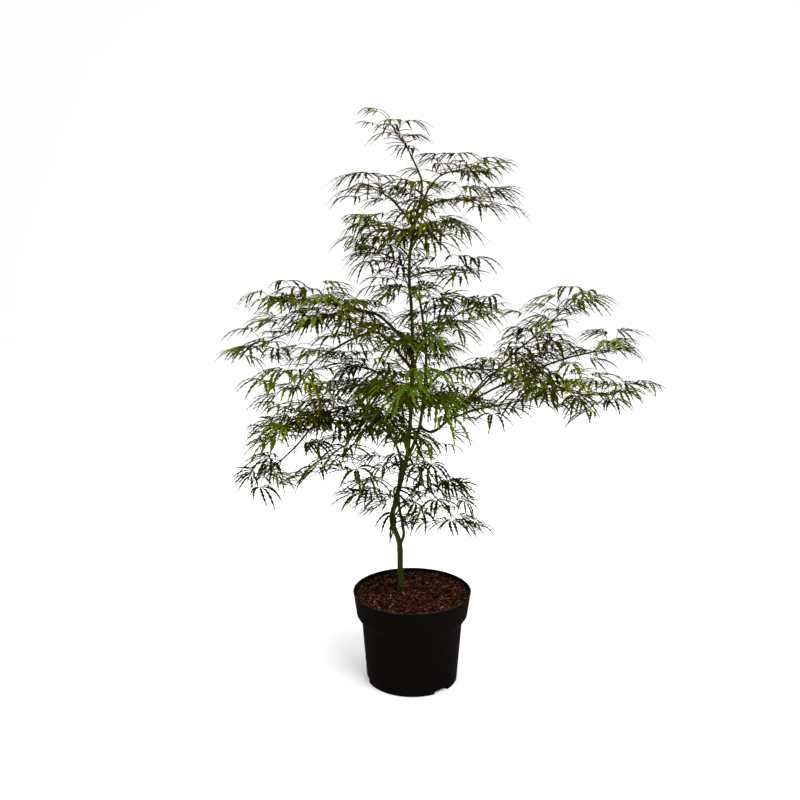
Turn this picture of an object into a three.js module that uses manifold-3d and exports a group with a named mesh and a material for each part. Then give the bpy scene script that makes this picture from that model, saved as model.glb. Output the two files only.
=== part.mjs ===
// A laceleaf Japanese maple in its nursery pot, in millimetres, +Z up, seen from the front along +Y.
// The origin is the middle of the pot's flat underside.
// Crooked limbs branch from one trunk, and each carries one mass of foliage that keeps to its own space.
import * as THREE from 'three';
import { mergeVertices } from 'three/addons/utils/BufferGeometryUtils.js';
import Module from 'manifold-3d';

const wasm = await Module();
wasm.setup();

// Driving dimensions
const seat = 0.3; // clearance left between pieces that touch

const pot = {
  height: 150.7,
  rimRadius: 95,
  lip: 2.6, // width of the rolled rim
  collarFoot: { radius: 89, height: 111.7 },
  neck: { radius: 80.7, height: 99.3 },
  footRadius: 73.1,
  wall: 2,
  floor: 3,
  sides: 32,
};

const notch = { width: 27, height: 7.7, depth: 16, count: 3, firstAngle: 39.5 };

const soil = { top: 142, edgeDrop: 2, flatRadius: 55 };

// The trunk leans left in an S bend, forks twice and kinks at the leader.
const trunkSize = { foot: 4.9, tip: 1.3, flare: 1.5, flareHeight: 9, sides: 7, steps: 26 };
const trunkBends = [
  [-17.3, 27, 136], [-19.3, 26, 182], [-20.5, 24, 221], [-32.5, 20, 261.5], [-28.6, 17, 286],
  [-15.6, 11, 339.5], [-7.7, 7, 378], [-2.2, 6, 462], [-1, 8, 580], [-5.5, 5, 676],
  [3.1, 3, 735], [12.7, 0, 792], [-5, 0, 836],
];

// Leaves: five narrow pointed lobes that droop from the end of a thin stalk.
const lobeTurns = [0, 40, 86, 274, 320]; // degrees round from the middle lobe
const lobeLengths = [1, 0.94, 0.74, 0.74, 0.94]; // shares of the leaf's length
const leafShape = { notchReach: 0.17, backReach: 0.1, halfThickness: 1.1, sag: 0.22, halfWidth: 4 };
const stalk = { radius: 0.5, longest: 55 };

// Foliage spaces are told apart in a frame stretched upwards, because the sprays lie flat.
const flatness = 2.2;

// Each limb: the piece it grows from, its base and tip radii, and the bends it passes.
const limbPlans = [
  ['stem_left', 'trunk', 2.5, 1.9, [
    [-20.2, 24, 216], [-13.8, 22, 235], [-15, 24, 250], [-21, 29, 284], [-21.7, 28.5, 316],
    [-18.5, 19, 362], [-33, 9, 402], [-52, 22, 420]]],
  ['stem_right', 'trunk', 3, 1.6, [
    [-9.8, 8, 368], [-0.6, 3, 386], [11.8, -2, 426], [17.8, -3, 480], [20.3, 0, 548],
    [13, 4, 604], [9, 7, 624]]],
  ['bough_upper_right', 'trunk', 1.9, 1.3, [
    [5, 2.6, 750], [15, 5, 768], [24, 10, 785], [34, 15, 797]]],
  ['bough_upper_right_low', 'trunk', 1.9, 1.3, [
    [3.4, 3, 737], [20, -8, 758], [35, -22, 766], [52, -32, 770]]],
  ['bough_upper_left', 'trunk', 1.9, 1.3, [
    [2, 3, 729], [-15, 6, 750], [-33, 10, 769], [-42, 12, 775]]],
  ['bough_left_top', 'trunk', 2.4, 1.5, [
    [-1.4, 7.7, 538], [-23, 0, 568], [-53, -10, 597], [-94, -20, 611]]],
  ['bough_left_far', 'bough_left_top', 1.7, 1.2, [
    [-70, -14, 604], [-111, 5, 600], [-146, 25, 584], [-172, 34, 572]]],
  ['bough_left_arch', 'trunk', 2.4, 1.5, [
    [-1.8, 7, 512], [-33, -8, 552], [-55, -19, 573], [-86, -28, 566], [-136, -42, 541]]],
  ['bough_left_low_far', 'stem_left', 1.8, 1.3, [
    [-33, 9, 402], [-44, 2, 428], [-62, 1, 450], [-85, 0, 456], [-130, -4, 443], [-172, -7, 431]]],
  ['bough_left_hang', 'bough_left_low_far', 1.6, 1.2, [
    [-130, -4, 443], [-156, -10, 422], [-177, -19, 398], [-192, -25, 384]]],
  ['bough_left_under', 'bough_left_low_far', 1.6, 1.2, [
    [-44, 2, 428], [-58, -15, 430], [-75, -42, 423], [-92, -66, 408]]],
  ['bough_front', 'trunk', 2.2, 1.4, [
    [-2.1, 6.2, 475], [-3, -40, 507], [-7, -85, 526], [-10, -118, 527]]],
  ['bough_back', 'trunk', 2.2, 1.4, [
    [-2.1, 6.1, 466], [2, 50, 490], [7, 95, 511], [12, 128, 519]]],
  ['bough_back_left', 'trunk', 2.2, 1.4, [
    [-2.7, 6, 446], [-20, 45, 469], [-57, 95, 488], [-88, 136, 489]]],
  ['bough_back_right', 'stem_right', 2, 1.4, [
    [17.7, -3, 477], [38, 40, 491], [68, 95, 495], [104, 136, 485]]],
  ['bough_right_low', 'stem_right', 2.3, 1.4, [
    [10.6, -1.5, 421], [29, -10, 415], [49, -16, 431], [68, -20, 453], [110, -13, 493],
    [149, 2, 531], [176, 9, 553]]],
  ['bough_right_outer', 'bough_right_low', 1.9, 1.3, [
    [70, -20, 455], [110, -24, 480], [163, -20, 505], [216, -15, 527], [262, -12, 539]]],
  ['bough_right_hang', 'bough_right_outer', 1.6, 1.2, [
    [136, -22, 494], [180, 0, 494], [216, 18, 483], [244, 25, 472]]],
  ['bough_right_mid', 'bough_right_low', 1.6, 1.2, [
    [84, -18.5, 468], [102, 0, 486], [116, 25, 494], [130, 45, 498]]],
  ['bough_right_front', 'bough_right_low', 1.6, 1.2, [
    [52, -16.6, 434.5], [76, -35, 450], [101, -49, 462], [124, -58, 469]]],
];
const limbSides = 5;
const stepsPerBend = 2;

// Each mass of foliage: what bears it, the height at which it leaves a trunk or stem (null: at the
// limb's tip), the middle and half-sizes of its space, its leaves and their length, and its seed.
const massPlans = [
  ['foliage_tip', 'trunk', null, [-20, -2, 858], [62, 54, 44], 7, 43, 11],
  ['foliage_upper_right', 'bough_upper_right', null, [58, 25, 806], [100, 66, 42], 9, 52, 12],
  ['foliage_upper_right_low', 'bough_upper_right_low', null, [83, -47, 769], [78, 64, 49], 8, 52, 13],
  ['foliage_upper_left', 'bough_upper_left', null, [-50, 15, 779], [92, 66, 42], 8, 50, 14],
  ['foliage_upper_left_low', 'trunk', 716, [-60, -45, 731], [56, 66, 45], 7, 52, 15],
  ['foliage_upper_front', 'trunk', 705, [22, -96, 728], [63, 72, 56], 11, 54, 16],
  ['foliage_upper_back', 'trunk', 722, [4, 105, 772], [68, 76, 45], 8, 54, 17],
  ['foliage_mid_right', 'trunk', 652, [64, -25, 664], [76, 66, 34], 6, 54, 18],
  ['foliage_mid_left', 'trunk', 660, [-43, 40, 682], [66, 66, 44], 9, 54, 19],
  ['foliage_mid_back', 'trunk', 610, [-10, 110, 632], [79, 80, 54], 8, 56, 20],
  ['foliage_left_top', 'bough_left_top', null, [-156, -30, 621], [92, 70, 40], 10, 56, 21],
  ['foliage_left_inner', 'trunk', 556, [-93, 60, 574], [90, 70, 65], 10, 56, 22],
  ['foliage_left_far', 'bough_left_far', null, [-238, 42, 542], [64, 72, 58], 9, 56, 23],
  ['foliage_left_arch', 'bough_left_arch', null, [-176, -58, 480], [82, 76, 58], 9, 56, 24],
  ['foliage_left_mid', 'trunk', 486, [-80, 12, 480], [96, 66, 60], 9, 56, 25],
  ['foliage_left_low_far', 'bough_left_low_far', null, [-190, -10, 422], [70, 70, 48], 9, 56, 26],
  ['foliage_left_low', 'stem_left', null, [-90, 70, 420], [105, 78, 60], 10, 56, 27],
  ['foliage_left_hang', 'bough_left_hang', null, [-226, -36, 358], [48, 60, 78], 8, 54, 28],
  ['foliage_left_under', 'bough_left_under', null, [-118, -92, 393], [73, 72, 70], 9, 56, 29],
  ['foliage_front', 'bough_front', null, [-6, -178, 512], [76, 76, 58], 12, 58, 30],
  ['foliage_front_low', 'trunk', 398, [-37, -98, 446], [62, 84, 48], 7, 56, 31],
  ['foliage_right_inner', 'stem_right', 560, [76, 10, 596], [92, 64, 38], 9, 54, 32],
  ['foliage_right_top', 'bough_right_low', null, [228, 20, 598], [94, 72, 50], 10, 56, 33],
  ['foliage_right_tip', 'bough_right_outer', null, [294, -16, 544], [68, 70, 70], 10, 54, 34],
  ['foliage_right_hang', 'bough_right_hang', null, [302, 40, 466], [90, 72, 62], 9, 56, 35],
  ['foliage_right_mid', 'bough_right_mid', null, [200, 85, 514], [82, 74, 60], 10, 56, 36],
  ['foliage_right_front', 'bough_right_front', null, [185, -84, 489], [99, 76, 45], 10, 56, 37],
  ['foliage_right_low', 'stem_right', 448, [44, 40, 446], [66, 66, 48], 7, 54, 38],
  ['foliage_center', 'trunk', 545, [8, -78, 568], [53, 76, 60], 8, 56, 39],
  ['foliage_back', 'bough_back', null, [24, 190, 554], [78, 78, 64], 8, 58, 40],
  ['foliage_back_left', 'bough_back_left', null, [-125, 190, 483], [69, 80, 72], 8, 58, 41],
  ['foliage_back_right', 'bough_back_right', null, [172, 198, 474], [84, 80, 72], 8, 58, 42],
  ['foliage_bottom_left', 'trunk', 300, [-56, -14, 314], [64, 64, 53], 8, 52, 43],
  ['foliage_bottom_right', 'trunk', 342, [46, -22, 298], [72, 66, 72], 9, 52, 44],
  ['foliage_bottom_back', 'trunk', 326, [-4, 96, 338], [60, 74, 58], 8, 54, 45],
];
const twigSize = { stemRadius: 1.7, stemTip: 1.3, stemSteps: 3, sideRadius: 0.9, sideTip: 0.9 };
const growth = {
  stemRise: 0.35, // how far a stem leaving a trunk or stem turns upwards
  stemBow: 0.5, // share of its way a stem keeps its first direction
  pastMiddle: 0.22, // how far it goes on past the middle, in half-sizes of the space
  bareStem: 5, // length at a stem's root that bears nothing
  sideShare: 0.5, // where on the stem the side twigs stand
  sideSlant: 0.6,
  sideReach: 0.55,
  tries: 4000,
  choices: 8,
  spread: 0.85, // share of the space that leaf hubs may take
  lowest: -0.8,
  turn: 1.8, // spreads in radians
  roll: 0.9,
  droop: [0.05, 0.7],
  size: [0.88, 1.12],
  enough: 4,
};

const looks = {
  pot: { color: 0x161311, roughness: 0.6, metalness: 0 },
  soil: { color: 0x3a2114, roughness: 0.95, metalness: 0 },
  bark: { color: 0x3d4020, roughness: 0.7, metalness: 0 },
  foliage: { color: 0x4a5a18, roughness: 0.6, metalness: 0 },
};

const model = new THREE.Group();
const up = new THREE.Vector3(0, 0, 1);

function vector([x, y, z]) {
  return new THREE.Vector3(x, y, z);
}

function toSolid(geometry) {
  geometry.deleteAttribute('normal');
  geometry.deleteAttribute('uv');
  const merged = mergeVertices(geometry, 1e-4);
  const mesh = new wasm.Mesh({
    numProp: 3,
    vertProperties: new Float32Array(merged.getAttribute('position').array),
    triVerts: new Uint32Array(merged.getIndex().array),
  });
  return new wasm.Manifold(mesh);
}

// The largest body of a solid as a three.js geometry; loose scraps are dropped.
function toGeometry(solid) {
  const bodies = solid.decompose().sort((a, b) => b.volume() - a.volume());
  const mesh = bodies[0].getMesh();
  const geometry = new THREE.BufferGeometry();
  geometry.setAttribute('position', new THREE.BufferAttribute(mesh.vertProperties, mesh.numProp));
  geometry.setIndex(new THREE.BufferAttribute(mesh.triVerts, 1));
  return geometry;
}

function addPiece(name, solid, look) {
  const piece = new THREE.Mesh(toGeometry(solid), new THREE.MeshStandardMaterial(looks[look]));
  piece.name = name;
  model.add(piece);
}

// Pot and soil

function lathe(profile) {
  const points = profile.map(([radius, height]) => new THREE.Vector2(radius, height));
  const geometry = new THREE.LatheGeometry(points, pot.sides);
  geometry.rotateX(Math.PI / 2);
  return toSolid(geometry);
}

// Radius of the pot's outside at a height above the neck or below it.
function potRadius(height) {
  const { neck, collarFoot, footRadius, rimRadius } = pot;
  if (height <= neck.height) {
    return THREE.MathUtils.lerp(footRadius, neck.radius, height / neck.height);
  }
  const share = (height - collarFoot.height) / (pot.height - collarFoot.height);
  return THREE.MathUtils.lerp(collarFoot.radius, rimRadius, share);
}

function innerWall(clearance, top) {
  const inset = pot.wall + clearance;
  return [
    [potRadius(pot.floor) - inset, pot.floor + clearance],
    [pot.neck.radius - inset, pot.neck.height + 1],
    [pot.collarFoot.radius - inset, pot.collarFoot.height + 1],
    [potRadius(top) - inset, top],
  ];
}

function makePot() {
  const { height, rimRadius, lip, collarFoot, neck, footRadius, floor } = pot;
  const shell = lathe([
    [0, 0],
    [footRadius, 0],
    [neck.radius, neck.height],
    [collarFoot.radius, collarFoot.height],
    [potRadius(height - lip) - 0.4, height - lip],
    [rimRadius, height - lip / 2],
    [rimRadius - lip / 2, height],
    [rimRadius - lip, height - lip / 2],
    ...innerWall(0, height - lip).reverse(),
    [0, floor],
  ]);
  const notches = Array.from({ length: notch.count }, (_, index) => {
    const block = new THREE.BoxGeometry(notch.width, notch.depth, 2 * notch.height);
    block.translate(0, -footRadius, 0);
    block.rotateZ(THREE.MathUtils.degToRad(notch.firstAngle + (index * 360) / notch.count));
    return toSolid(block);
  });
  addPiece('pot', shell.subtract(wasm.Manifold.union(notches)), 'pot');
}

function makeSoil() {
  const edge = soil.top - soil.edgeDrop;
  addPiece('soil', lathe([
    [0, pot.floor + seat],
    ...innerWall(seat, edge),
    [soil.flatRadius, soil.top],
    [0, soil.top],
  ]), 'soil');
}

// Limbs

// Sweeps a regular section along a path of points; the section is carried on without twisting.
// Where a start direction is given, the first end is cut square to it.
function sweep(path, radii, sides, start = null) {
  const steps = path.length - 1;
  const geometry = new THREE.CylinderGeometry(1, 1, 1, sides, steps);
  const rings = path.map((point, index) => {
    const before = path[Math.max(index - 1, 0)];
    const after = path[Math.min(index + 1, steps)];
    return { point, along: after.clone().sub(before).normalize(), radius: radii[index] };
  });
  rings[0].along.copy(start ?? rings[0].along);
  let across = new THREE.Vector3(0, 1, 0).cross(rings[0].along);
  for (const ring of rings) {
    across = across.addScaledVector(ring.along, -across.dot(ring.along)).normalize();
    ring.across = across.clone();
    ring.side = ring.along.clone().cross(ring.across);
  }
  const position = geometry.getAttribute('position');
  for (let index = 0; index < position.count; index += 1) {
    const ring = rings[Math.round((position.getY(index) + 0.5) * steps)];
    const place = ring.point.clone()
      .addScaledVector(ring.side, position.getX(index) * ring.radius)
      .addScaledVector(ring.across, position.getZ(index) * ring.radius);
    position.setXYZ(index, place.x, place.y, place.z);
  }
  return toSolid(geometry);
}

function smoothPath(bends, steps) {
  const curve = new THREE.CatmullRomCurve3(bends.map(vector), false, 'centripetal');
  return Array.from({ length: steps + 1 }, (_, step) => curve.getPoint(step / steps));
}

function makeLimb(name, parent, base, tip, bends, steps, sides, flare = 0) {
  const path = smoothPath(bends, steps);
  const radii = path.map((point, step) => {
    const rise = (point.z - path[0].z) / trunkSize.flareHeight;
    return THREE.MathUtils.lerp(base, tip, step / steps) + flare * Math.exp(-rise);
  });
  return { name, parent, path, radii, sides };
}

const limbs = new Map();

function plantLimbs() {
  const { foot, tip, sides, steps, flare } = trunkSize;
  limbs.set('trunk', makeLimb('trunk', null, foot, tip, trunkBends, steps, sides, flare));
  for (const [name, parent, base, end, bends] of limbPlans) {
    const stepCount = (bends.length - 1) * stepsPerBend;
    limbs.set(name, makeLimb(name, parent, base, end, bends, stepCount, limbSides));
  }
}

// A limb's solid, or the same made thicker all round as a cutter for what touches it.
function limbSolid(limb, extra = 0) {
  const spread = extra / Math.cos(Math.PI / limb.sides);
  return sweep(limb.path, limb.radii.map((radius) => radius + spread), limb.sides);
}

function makeTrunk() {
  const span = 200;
  const ground = new THREE.BoxGeometry(span, span, span);
  ground.translate(0, 0, soil.top + seat - span / 2);
  addPiece('trunk', limbSolid(limbs.get('trunk')).subtract(toSolid(ground)), 'bark');
}

function makeBoughs() {
  for (const [name, parent] of limbPlans) {
    const cutter = limbSolid(limbs.get(parent), seat);
    addPiece(name, limbSolid(limbs.get(name)).subtract(cutter), 'bark');
  }
}

// Foliage

// A repeatable stream of numbers from 0 to 1.
function seeded(seed) {
  let state = seed * 7919;
  return () => {
    state = (state * 16807) % 2147483647;
    return state / 2147483647;
  };
}

// Points along a path with the radius there, closely enough spaced to test a clearance.
function pathSamples(path, radii, owner) {
  const spacing = 4;
  const last = path.length - 1;
  const samples = [{ point: path[last], radius: radii[last], owner }];
  for (let step = 0; step < last; step += 1) {
    const count = Math.ceil(path[step].distanceTo(path[step + 1]) / spacing);
    for (let part = 0; part < count; part += 1) {
      const share = part / count;
      samples.push({
        point: path[step].clone().lerp(path[step + 1], share),
        radius: THREE.MathUtils.lerp(radii[step], radii[step + 1], share),
        owner,
      });
    }
  }
  return samples;
}

// Where a mass's stem starts and which way it sets out.
function rootOf(mass) {
  const { path } = limbs.get(mass.limb);
  const last = path.length - 1;
  if (mass.height === null) {
    const along = path[last].clone().sub(path[last - 1]).normalize();
    return { point: path[last].clone().addScaledVector(along, seat), along };
  }
  const step = path.findIndex((point) => point.z > mass.height);
  const share = (mass.height - path[step - 1].z) / (path[step].z - path[step - 1].z);
  const point = path[step - 1].clone().lerp(path[step], share);
  const along = mass.middle.clone().sub(point).normalize();
  along.z += growth.stemRise;
  return { point, along: along.normalize() };
}

// The stem bends from its root towards the middle of the space and a little past it.
function stemOf(mass) {
  const root = rootOf(mass);
  const away = mass.middle.clone().sub(root.point);
  const reach = away.clone().divide(mass.half).length();
  const end = mass.middle.clone().addScaledVector(away, growth.pastMiddle / Math.max(reach, 0.5));
  const bend = root.point.clone().addScaledVector(root.along, away.length() * growth.stemBow);
  const curve = new THREE.QuadraticBezierCurve3(root.point, bend, end);
  const steps = twigSize.stemSteps;
  const path = Array.from({ length: steps + 1 }, (_, step) => curve.getPoint(step / steps));
  const radii = path.map((_, step) => (
    THREE.MathUtils.lerp(twigSize.stemRadius, twigSize.stemTip, step / steps)));
  return { path, radii, start: root.along };
}

function weigh(mass, point) {
  const dx = point.x - mass.middle.x;
  const dy = point.y - mass.middle.y;
  const dz = (point.z - mass.middle.z) * flatness;
  return dx * dx + dy * dy + dz * dz - mass.reach * mass.reach;
}

// True where a point is inside a mass's half-sizes and on its side of every border with a neighbour.
function inSpace(mass, point) {
  const offset = point.clone().sub(mass.middle).divide(mass.half);
  if (offset.x ** 4 + offset.y ** 4 + offset.z ** 4 > 1) {
    return false;
  }
  const own = weigh(mass, point);
  return mass.neighbours.every(({ other, steepness }) => (
    weigh(other, point) - own > steepness * seat * 2));
}

function clearOf(obstacles, point, margin) {
  return obstacles.every(({ point: centre, radius }) => (
    point.distanceToSquared(centre) > (radius + margin) ** 2));
}

// A leaf's frame: its hub, the way its middle lobe points, the way its top faces and its side.
function frameLeaf(hub, yaw, droop, roll, size) {
  const forward = new THREE.Vector3(
    Math.cos(yaw) * Math.cos(droop), Math.sin(yaw) * Math.cos(droop), -Math.sin(droop));
  const level = up.clone().cross(forward).normalize();
  const top = forward.clone().cross(level).applyAxisAngle(forward, roll);
  return { hub, forward, top, side: top.clone().cross(forward), size };
}

// A point of a leaf at a turn from its middle lobe, sagging more the further it is from the hub.
function leafPoint(leaf, degrees, share) {
  const turn = THREE.MathUtils.degToRad(degrees);
  const length = leaf.size * share;
  return leaf.hub.clone()
    .addScaledVector(leaf.forward, Math.cos(turn) * length)
    .addScaledVector(leaf.side, Math.sin(turn) * length)
    .addScaledVector(up, -leafShape.sag * length);
}

function lobeTips(leaf) {
  return lobeTurns.map((turn, index) => leafPoint(leaf, turn, lobeLengths[index]));
}

function between(from, to, shares) {
  return shares.map((share) => from.clone().lerp(to, share));
}

// Balls that fill a leaf's lobes, smaller towards the tips, and others at its notches.
function leafSamples(leaf) {
  const lobes = [0, 0.15, 0.3, 0.45, 0.6, 0.7, 0.8, 0.9, 1].flatMap((share) => (
    lobeTips(leaf).map((tip) => ({
      point: leaf.hub.clone().lerp(tip, share),
      radius: leafShape.halfWidth * (1 - share) + 0.5,
    }))));
  const notches = lobeTurns.map((_, lobe) => ({ point: rimPoint(leaf, 2 * lobe + 1), radius: 1 }));
  return [...lobes, ...notches];
}

function leafFits(mass, leaf) {
  return inSpace(mass, leaf.hub) && lobeTips(leaf).every((tip) => inSpace(mass, tip))
    && leafSamples(leaf).every(({ point, radius }) => (
      clearOf(mass.obstacles, point, radius + seat) && clearOf(mass.twigSamples, point, radius + seat)));
}

function twigFits(mass, from, to) {
  return between(from, to, [0.05, 0.15, 0.25, 0.35, 0.45, 0.55, 0.65, 0.75, 0.85, 1]).every((point) => (
    clearOf(mass.obstacles, point, twigSize.sideRadius + seat)));
}

// An opposite pair of side twigs, level and slanting forward.
function sidePair(mass) {
  const { path } = mass.stem;
  const node = pointOnPath(path, growth.sideShare);
  const along = path[path.length - 1].clone().sub(node).normalize();
  const level = up.clone().cross(along).normalize();
  return [1, -1].map((side) => {
    const way = along.clone().multiplyScalar(growth.sideSlant).addScaledVector(level, side).normalize();
    const reach = growth.sideReach / way.clone().divide(mass.half).length();
    return [node, node.clone().addScaledVector(way, reach)];
  }).filter(([base, end]) => twigFits(mass, base, end));
}

function pointOnPath(path, share) {
  const place = share * (path.length - 1);
  const step = Math.min(Math.floor(place), path.length - 2);
  return path[step].clone().lerp(path[step + 1], place - step);
}

// The free place on a mass's twigs from which a stalk to the hub is shortest.
function nearestTwig(mass, hub) {
  let best = null;
  let least = Infinity;
  for (const sample of mass.twigSamples) {
    const distance = sample.point.distanceTo(hub);
    if (!sample.taken && distance < least) {
      least = distance;
      best = sample;
    }
  }
  return { from: best, length: least };
}

// One leaf drawn at random somewhere in the space, on a stalk from the nearest free twig.
function drawLeaf(mass, random) {
  const { lerp } = THREE.MathUtils;
  const spot = new THREE.Vector3(
    lerp(-1, 1, random()), lerp(-1, 1, random()), lerp(growth.lowest, 1, random()));
  const hub = spot.multiplyScalar(growth.spread).multiply(mass.half).add(mass.middle);
  const turn = (random() - 0.5) * growth.turn;
  const droop = lerp(...growth.droop, random());
  const roll = (random() - 0.5) * growth.roll;
  const size = mass.leafLength * lerp(...growth.size, random());
  const { from, length } = nearestTwig(mass, hub);
  const base = from.point;
  const yaw = Math.atan2(hub.y - base.y, hub.x - base.x) + turn;
  const leaf = { ...frameLeaf(hub, yaw, droop, roll, size), base, from };
  const fits = length < stalk.longest && leafFits(mass, leaf) && twigFits(mass, base, hub);
  return fits ? leaf : null;
}

// The middle of a leaf's blade, by which leaves are kept apart.
function bladeMiddle(leaf) {
  return leafPoint(leaf, 0, 0.4);
}

// Each new leaf is the one of several that fit which lies furthest from the leaves before it.
function growLeaves(mass) {
  const random = seeded(mass.seed);
  const leaves = [];
  let tries = 0;
  while (leaves.length < mass.leafCount && tries < growth.tries) {
    const choices = [];
    while (choices.length < growth.choices && tries < growth.tries) {
      tries += 1;
      const leaf = drawLeaf(mass, random);
      if (leaf) {
        choices.push({ leaf, room: roomFor(mass, leaf, leaves) });
      }
    }
    choices.sort((a, b) => b.room - a.room);
    if (choices.length > 0) {
      const { leaf } = choices[0];
      leaf.from.taken = true;
      leaves.push(leaf);
      mass.obstacles.push(...leafSamples(leaf), ...stalkSamples(leaf.base, leaf.hub));
    }
  }
  return leaves;
}

// Distance from a leaf's blade to the nearest other, in half-sizes of the space.
function roomFor(mass, leaf, leaves) {
  const distances = leaves.map((other) => (
    bladeMiddle(other).sub(bladeMiddle(leaf)).divide(mass.half).length()));
  return Math.min(growth.enough, ...distances);
}

function stalkSamples(base, hub) {
  return between(base, hub, [0.3, 0.5, 0.7, 0.9]).map((point) => ({ point, radius: stalk.radius }));
}

function leafSolid(leaf) {
  const points = lobeTurns.length * 2;
  const geometry = new THREE.ConeGeometry(1, 1, points, 1);
  const position = geometry.getAttribute('position');
  for (let index = 0; index < position.count; index += 1) {
    const place = new THREE.Vector3().fromBufferAttribute(position, index);
    const onAxis = Math.hypot(place.x, place.z) < 0.5;
    const slot = Math.round(((Math.atan2(place.x, place.z) / Math.PI) * points) / 2 + points) % points;
    const target = onAxis ? hubFace(leaf, Math.sign(place.y)) : rimPoint(leaf, slot);
    position.setXYZ(index, target.x, target.y, target.z);
  }
  return toSolid(geometry);
}

function hubFace(leaf, face) {
  return leaf.hub.clone().addScaledVector(leaf.top, face * leafShape.halfThickness);
}

// Even slots are lobe tips, odd slots the notches between them; the shallowest notch is at the stalk.
function rimPoint(leaf, slot) {
  const lobe = Math.floor(slot / 2);
  if (slot % 2 === 0) {
    return leafPoint(leaf, lobeTurns[lobe], lobeLengths[lobe]);
  }
  const nextTurn = lobe + 1 < lobeTurns.length ? lobeTurns[lobe + 1] : 360;
  const turn = (lobeTurns[lobe] + nextTurn) / 2;
  return leafPoint(leaf, turn, turn === 180 ? leafShape.backReach : leafShape.notchReach);
}

// A stalk tapers from inside its twig to a point inside its leaf's hub.
function stalkSolid({ base, hub }) {
  const along = hub.clone().sub(base);
  const cone = new THREE.ConeGeometry(stalk.radius, along.length(), 3, 1);
  cone.translate(0, along.length() / 2, 0);
  cone.applyQuaternion(new THREE.Quaternion().setFromUnitVectors(
    new THREE.Vector3(0, 1, 0), along.clone().normalize()));
  return toSolid(cone.translate(base.x, base.y, base.z));
}

function massSolid(mass) {
  const { sideTip, sideRadius } = twigSize;
  const solid = wasm.Manifold.union([
    sweep(mass.stem.path, mass.stem.radii, 3, mass.stem.start),
    ...mass.sides.map((path) => sweep(path, [sideRadius, sideTip], 3)),
    ...mass.leaves.flatMap((leaf) => [stalkSolid(leaf), leafSolid(leaf)]),
  ]);
  return mass.height === null ? solid : solid.subtract(limbSolid(limbs.get(mass.limb), seat));
}

function plantMasses() {
  const masses = massPlans.map(([name, limb, height, middle, half, leafCount, leafLength, seed]) => {
    const mass = { name, limb, height, leafCount, leafLength, seed };
    mass.middle = vector(middle);
    mass.half = vector(half);
    mass.reach = Math.cbrt(half[0] * half[1] * half[2] * flatness);
    mass.stem = stemOf(mass);
    return mass;
  });
  const limbSamples = [...limbs.values()].flatMap(({ path, radii, name }) => (
    pathSamples(path, radii, name)));
  const stemSamples = masses.flatMap(({ stem, name }) => (
    pathSamples(stem.path, stem.radii, name)));
  const stretch = new THREE.Vector3(1, 1, flatness * flatness);
  for (const mass of masses) {
    mass.neighbours = masses.filter((other) => other !== mass).map((other) => {
      const across = other.middle.clone().sub(mass.middle).multiply(stretch);
      return { other, steepness: 2 * across.length() };
    });
    mass.obstacles = [...limbSamples, ...stemSamples].filter(({ owner }) => owner !== mass.name);
    mass.sides = sidePair(mass);
    mass.twigSamples = [mass.stem.path, ...mass.sides]
      .flatMap((path) => pathSamples(path, path.map(() => twigSize.stemTip), mass.name))
      .filter(({ point }) => inSpace(mass, point) && point.distanceTo(mass.stem.path[0]) > growth.bareStem);
    mass.leaves = growLeaves(mass);
  }
  return masses;
}

makePot();
makeSoil();
plantLimbs();
makeTrunk();
makeBoughs();
for (const mass of plantMasses()) {
  addPiece(mass.name, massSolid(mass), 'foliage');
}

export default model;
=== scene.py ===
import math
import random

import bmesh
import bpy
import numpy as np
from mathutils import Matrix, Vector, noise


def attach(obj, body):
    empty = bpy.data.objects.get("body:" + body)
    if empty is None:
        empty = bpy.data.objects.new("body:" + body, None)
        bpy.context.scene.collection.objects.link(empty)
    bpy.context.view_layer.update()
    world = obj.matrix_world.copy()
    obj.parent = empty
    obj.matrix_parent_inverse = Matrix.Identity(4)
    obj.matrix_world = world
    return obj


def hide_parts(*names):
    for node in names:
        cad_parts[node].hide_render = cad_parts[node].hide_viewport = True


# A laceleaf Japanese maple in its nursery pot. The solids give the limbs and a few leaves of each
# mass of foliage; here the same rule is followed again and carried to the finer twigs and leaves.
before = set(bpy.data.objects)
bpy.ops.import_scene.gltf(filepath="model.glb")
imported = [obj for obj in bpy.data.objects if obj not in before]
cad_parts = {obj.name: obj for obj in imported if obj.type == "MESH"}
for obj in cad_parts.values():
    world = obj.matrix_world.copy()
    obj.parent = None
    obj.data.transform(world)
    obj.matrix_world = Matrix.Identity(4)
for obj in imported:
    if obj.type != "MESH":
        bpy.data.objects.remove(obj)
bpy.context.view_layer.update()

mm = 0.001  # sizes below are in millimetres
upward = np.array([0.0, 0.0, 1.0])


# Shaders

class Wire:
    # A socket that Python sums can be written with.
    def __init__(self, shader, socket):
        self.shader = shader
        self.socket = socket

    def sum(self, operation, first, second):
        return self.shader.node("Math", {"operation": operation}, {0: first, 1: second})

    def __add__(self, other):
        return self.sum("ADD", self, other)

    def __radd__(self, other):
        return self.sum("ADD", other, self)

    def __sub__(self, other):
        return self.sum("SUBTRACT", self, other)

    def __mul__(self, other):
        return self.sum("MULTIPLY", self, other)

    def __rmul__(self, other):
        return self.sum("MULTIPLY", other, self)

    def clipped(self, low, high):
        return self.shader.node("MapRange", {"interpolation_type": "SMOOTHSTEP"},
                                {"Value": self, "From Min": low, "From Max": high})


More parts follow.
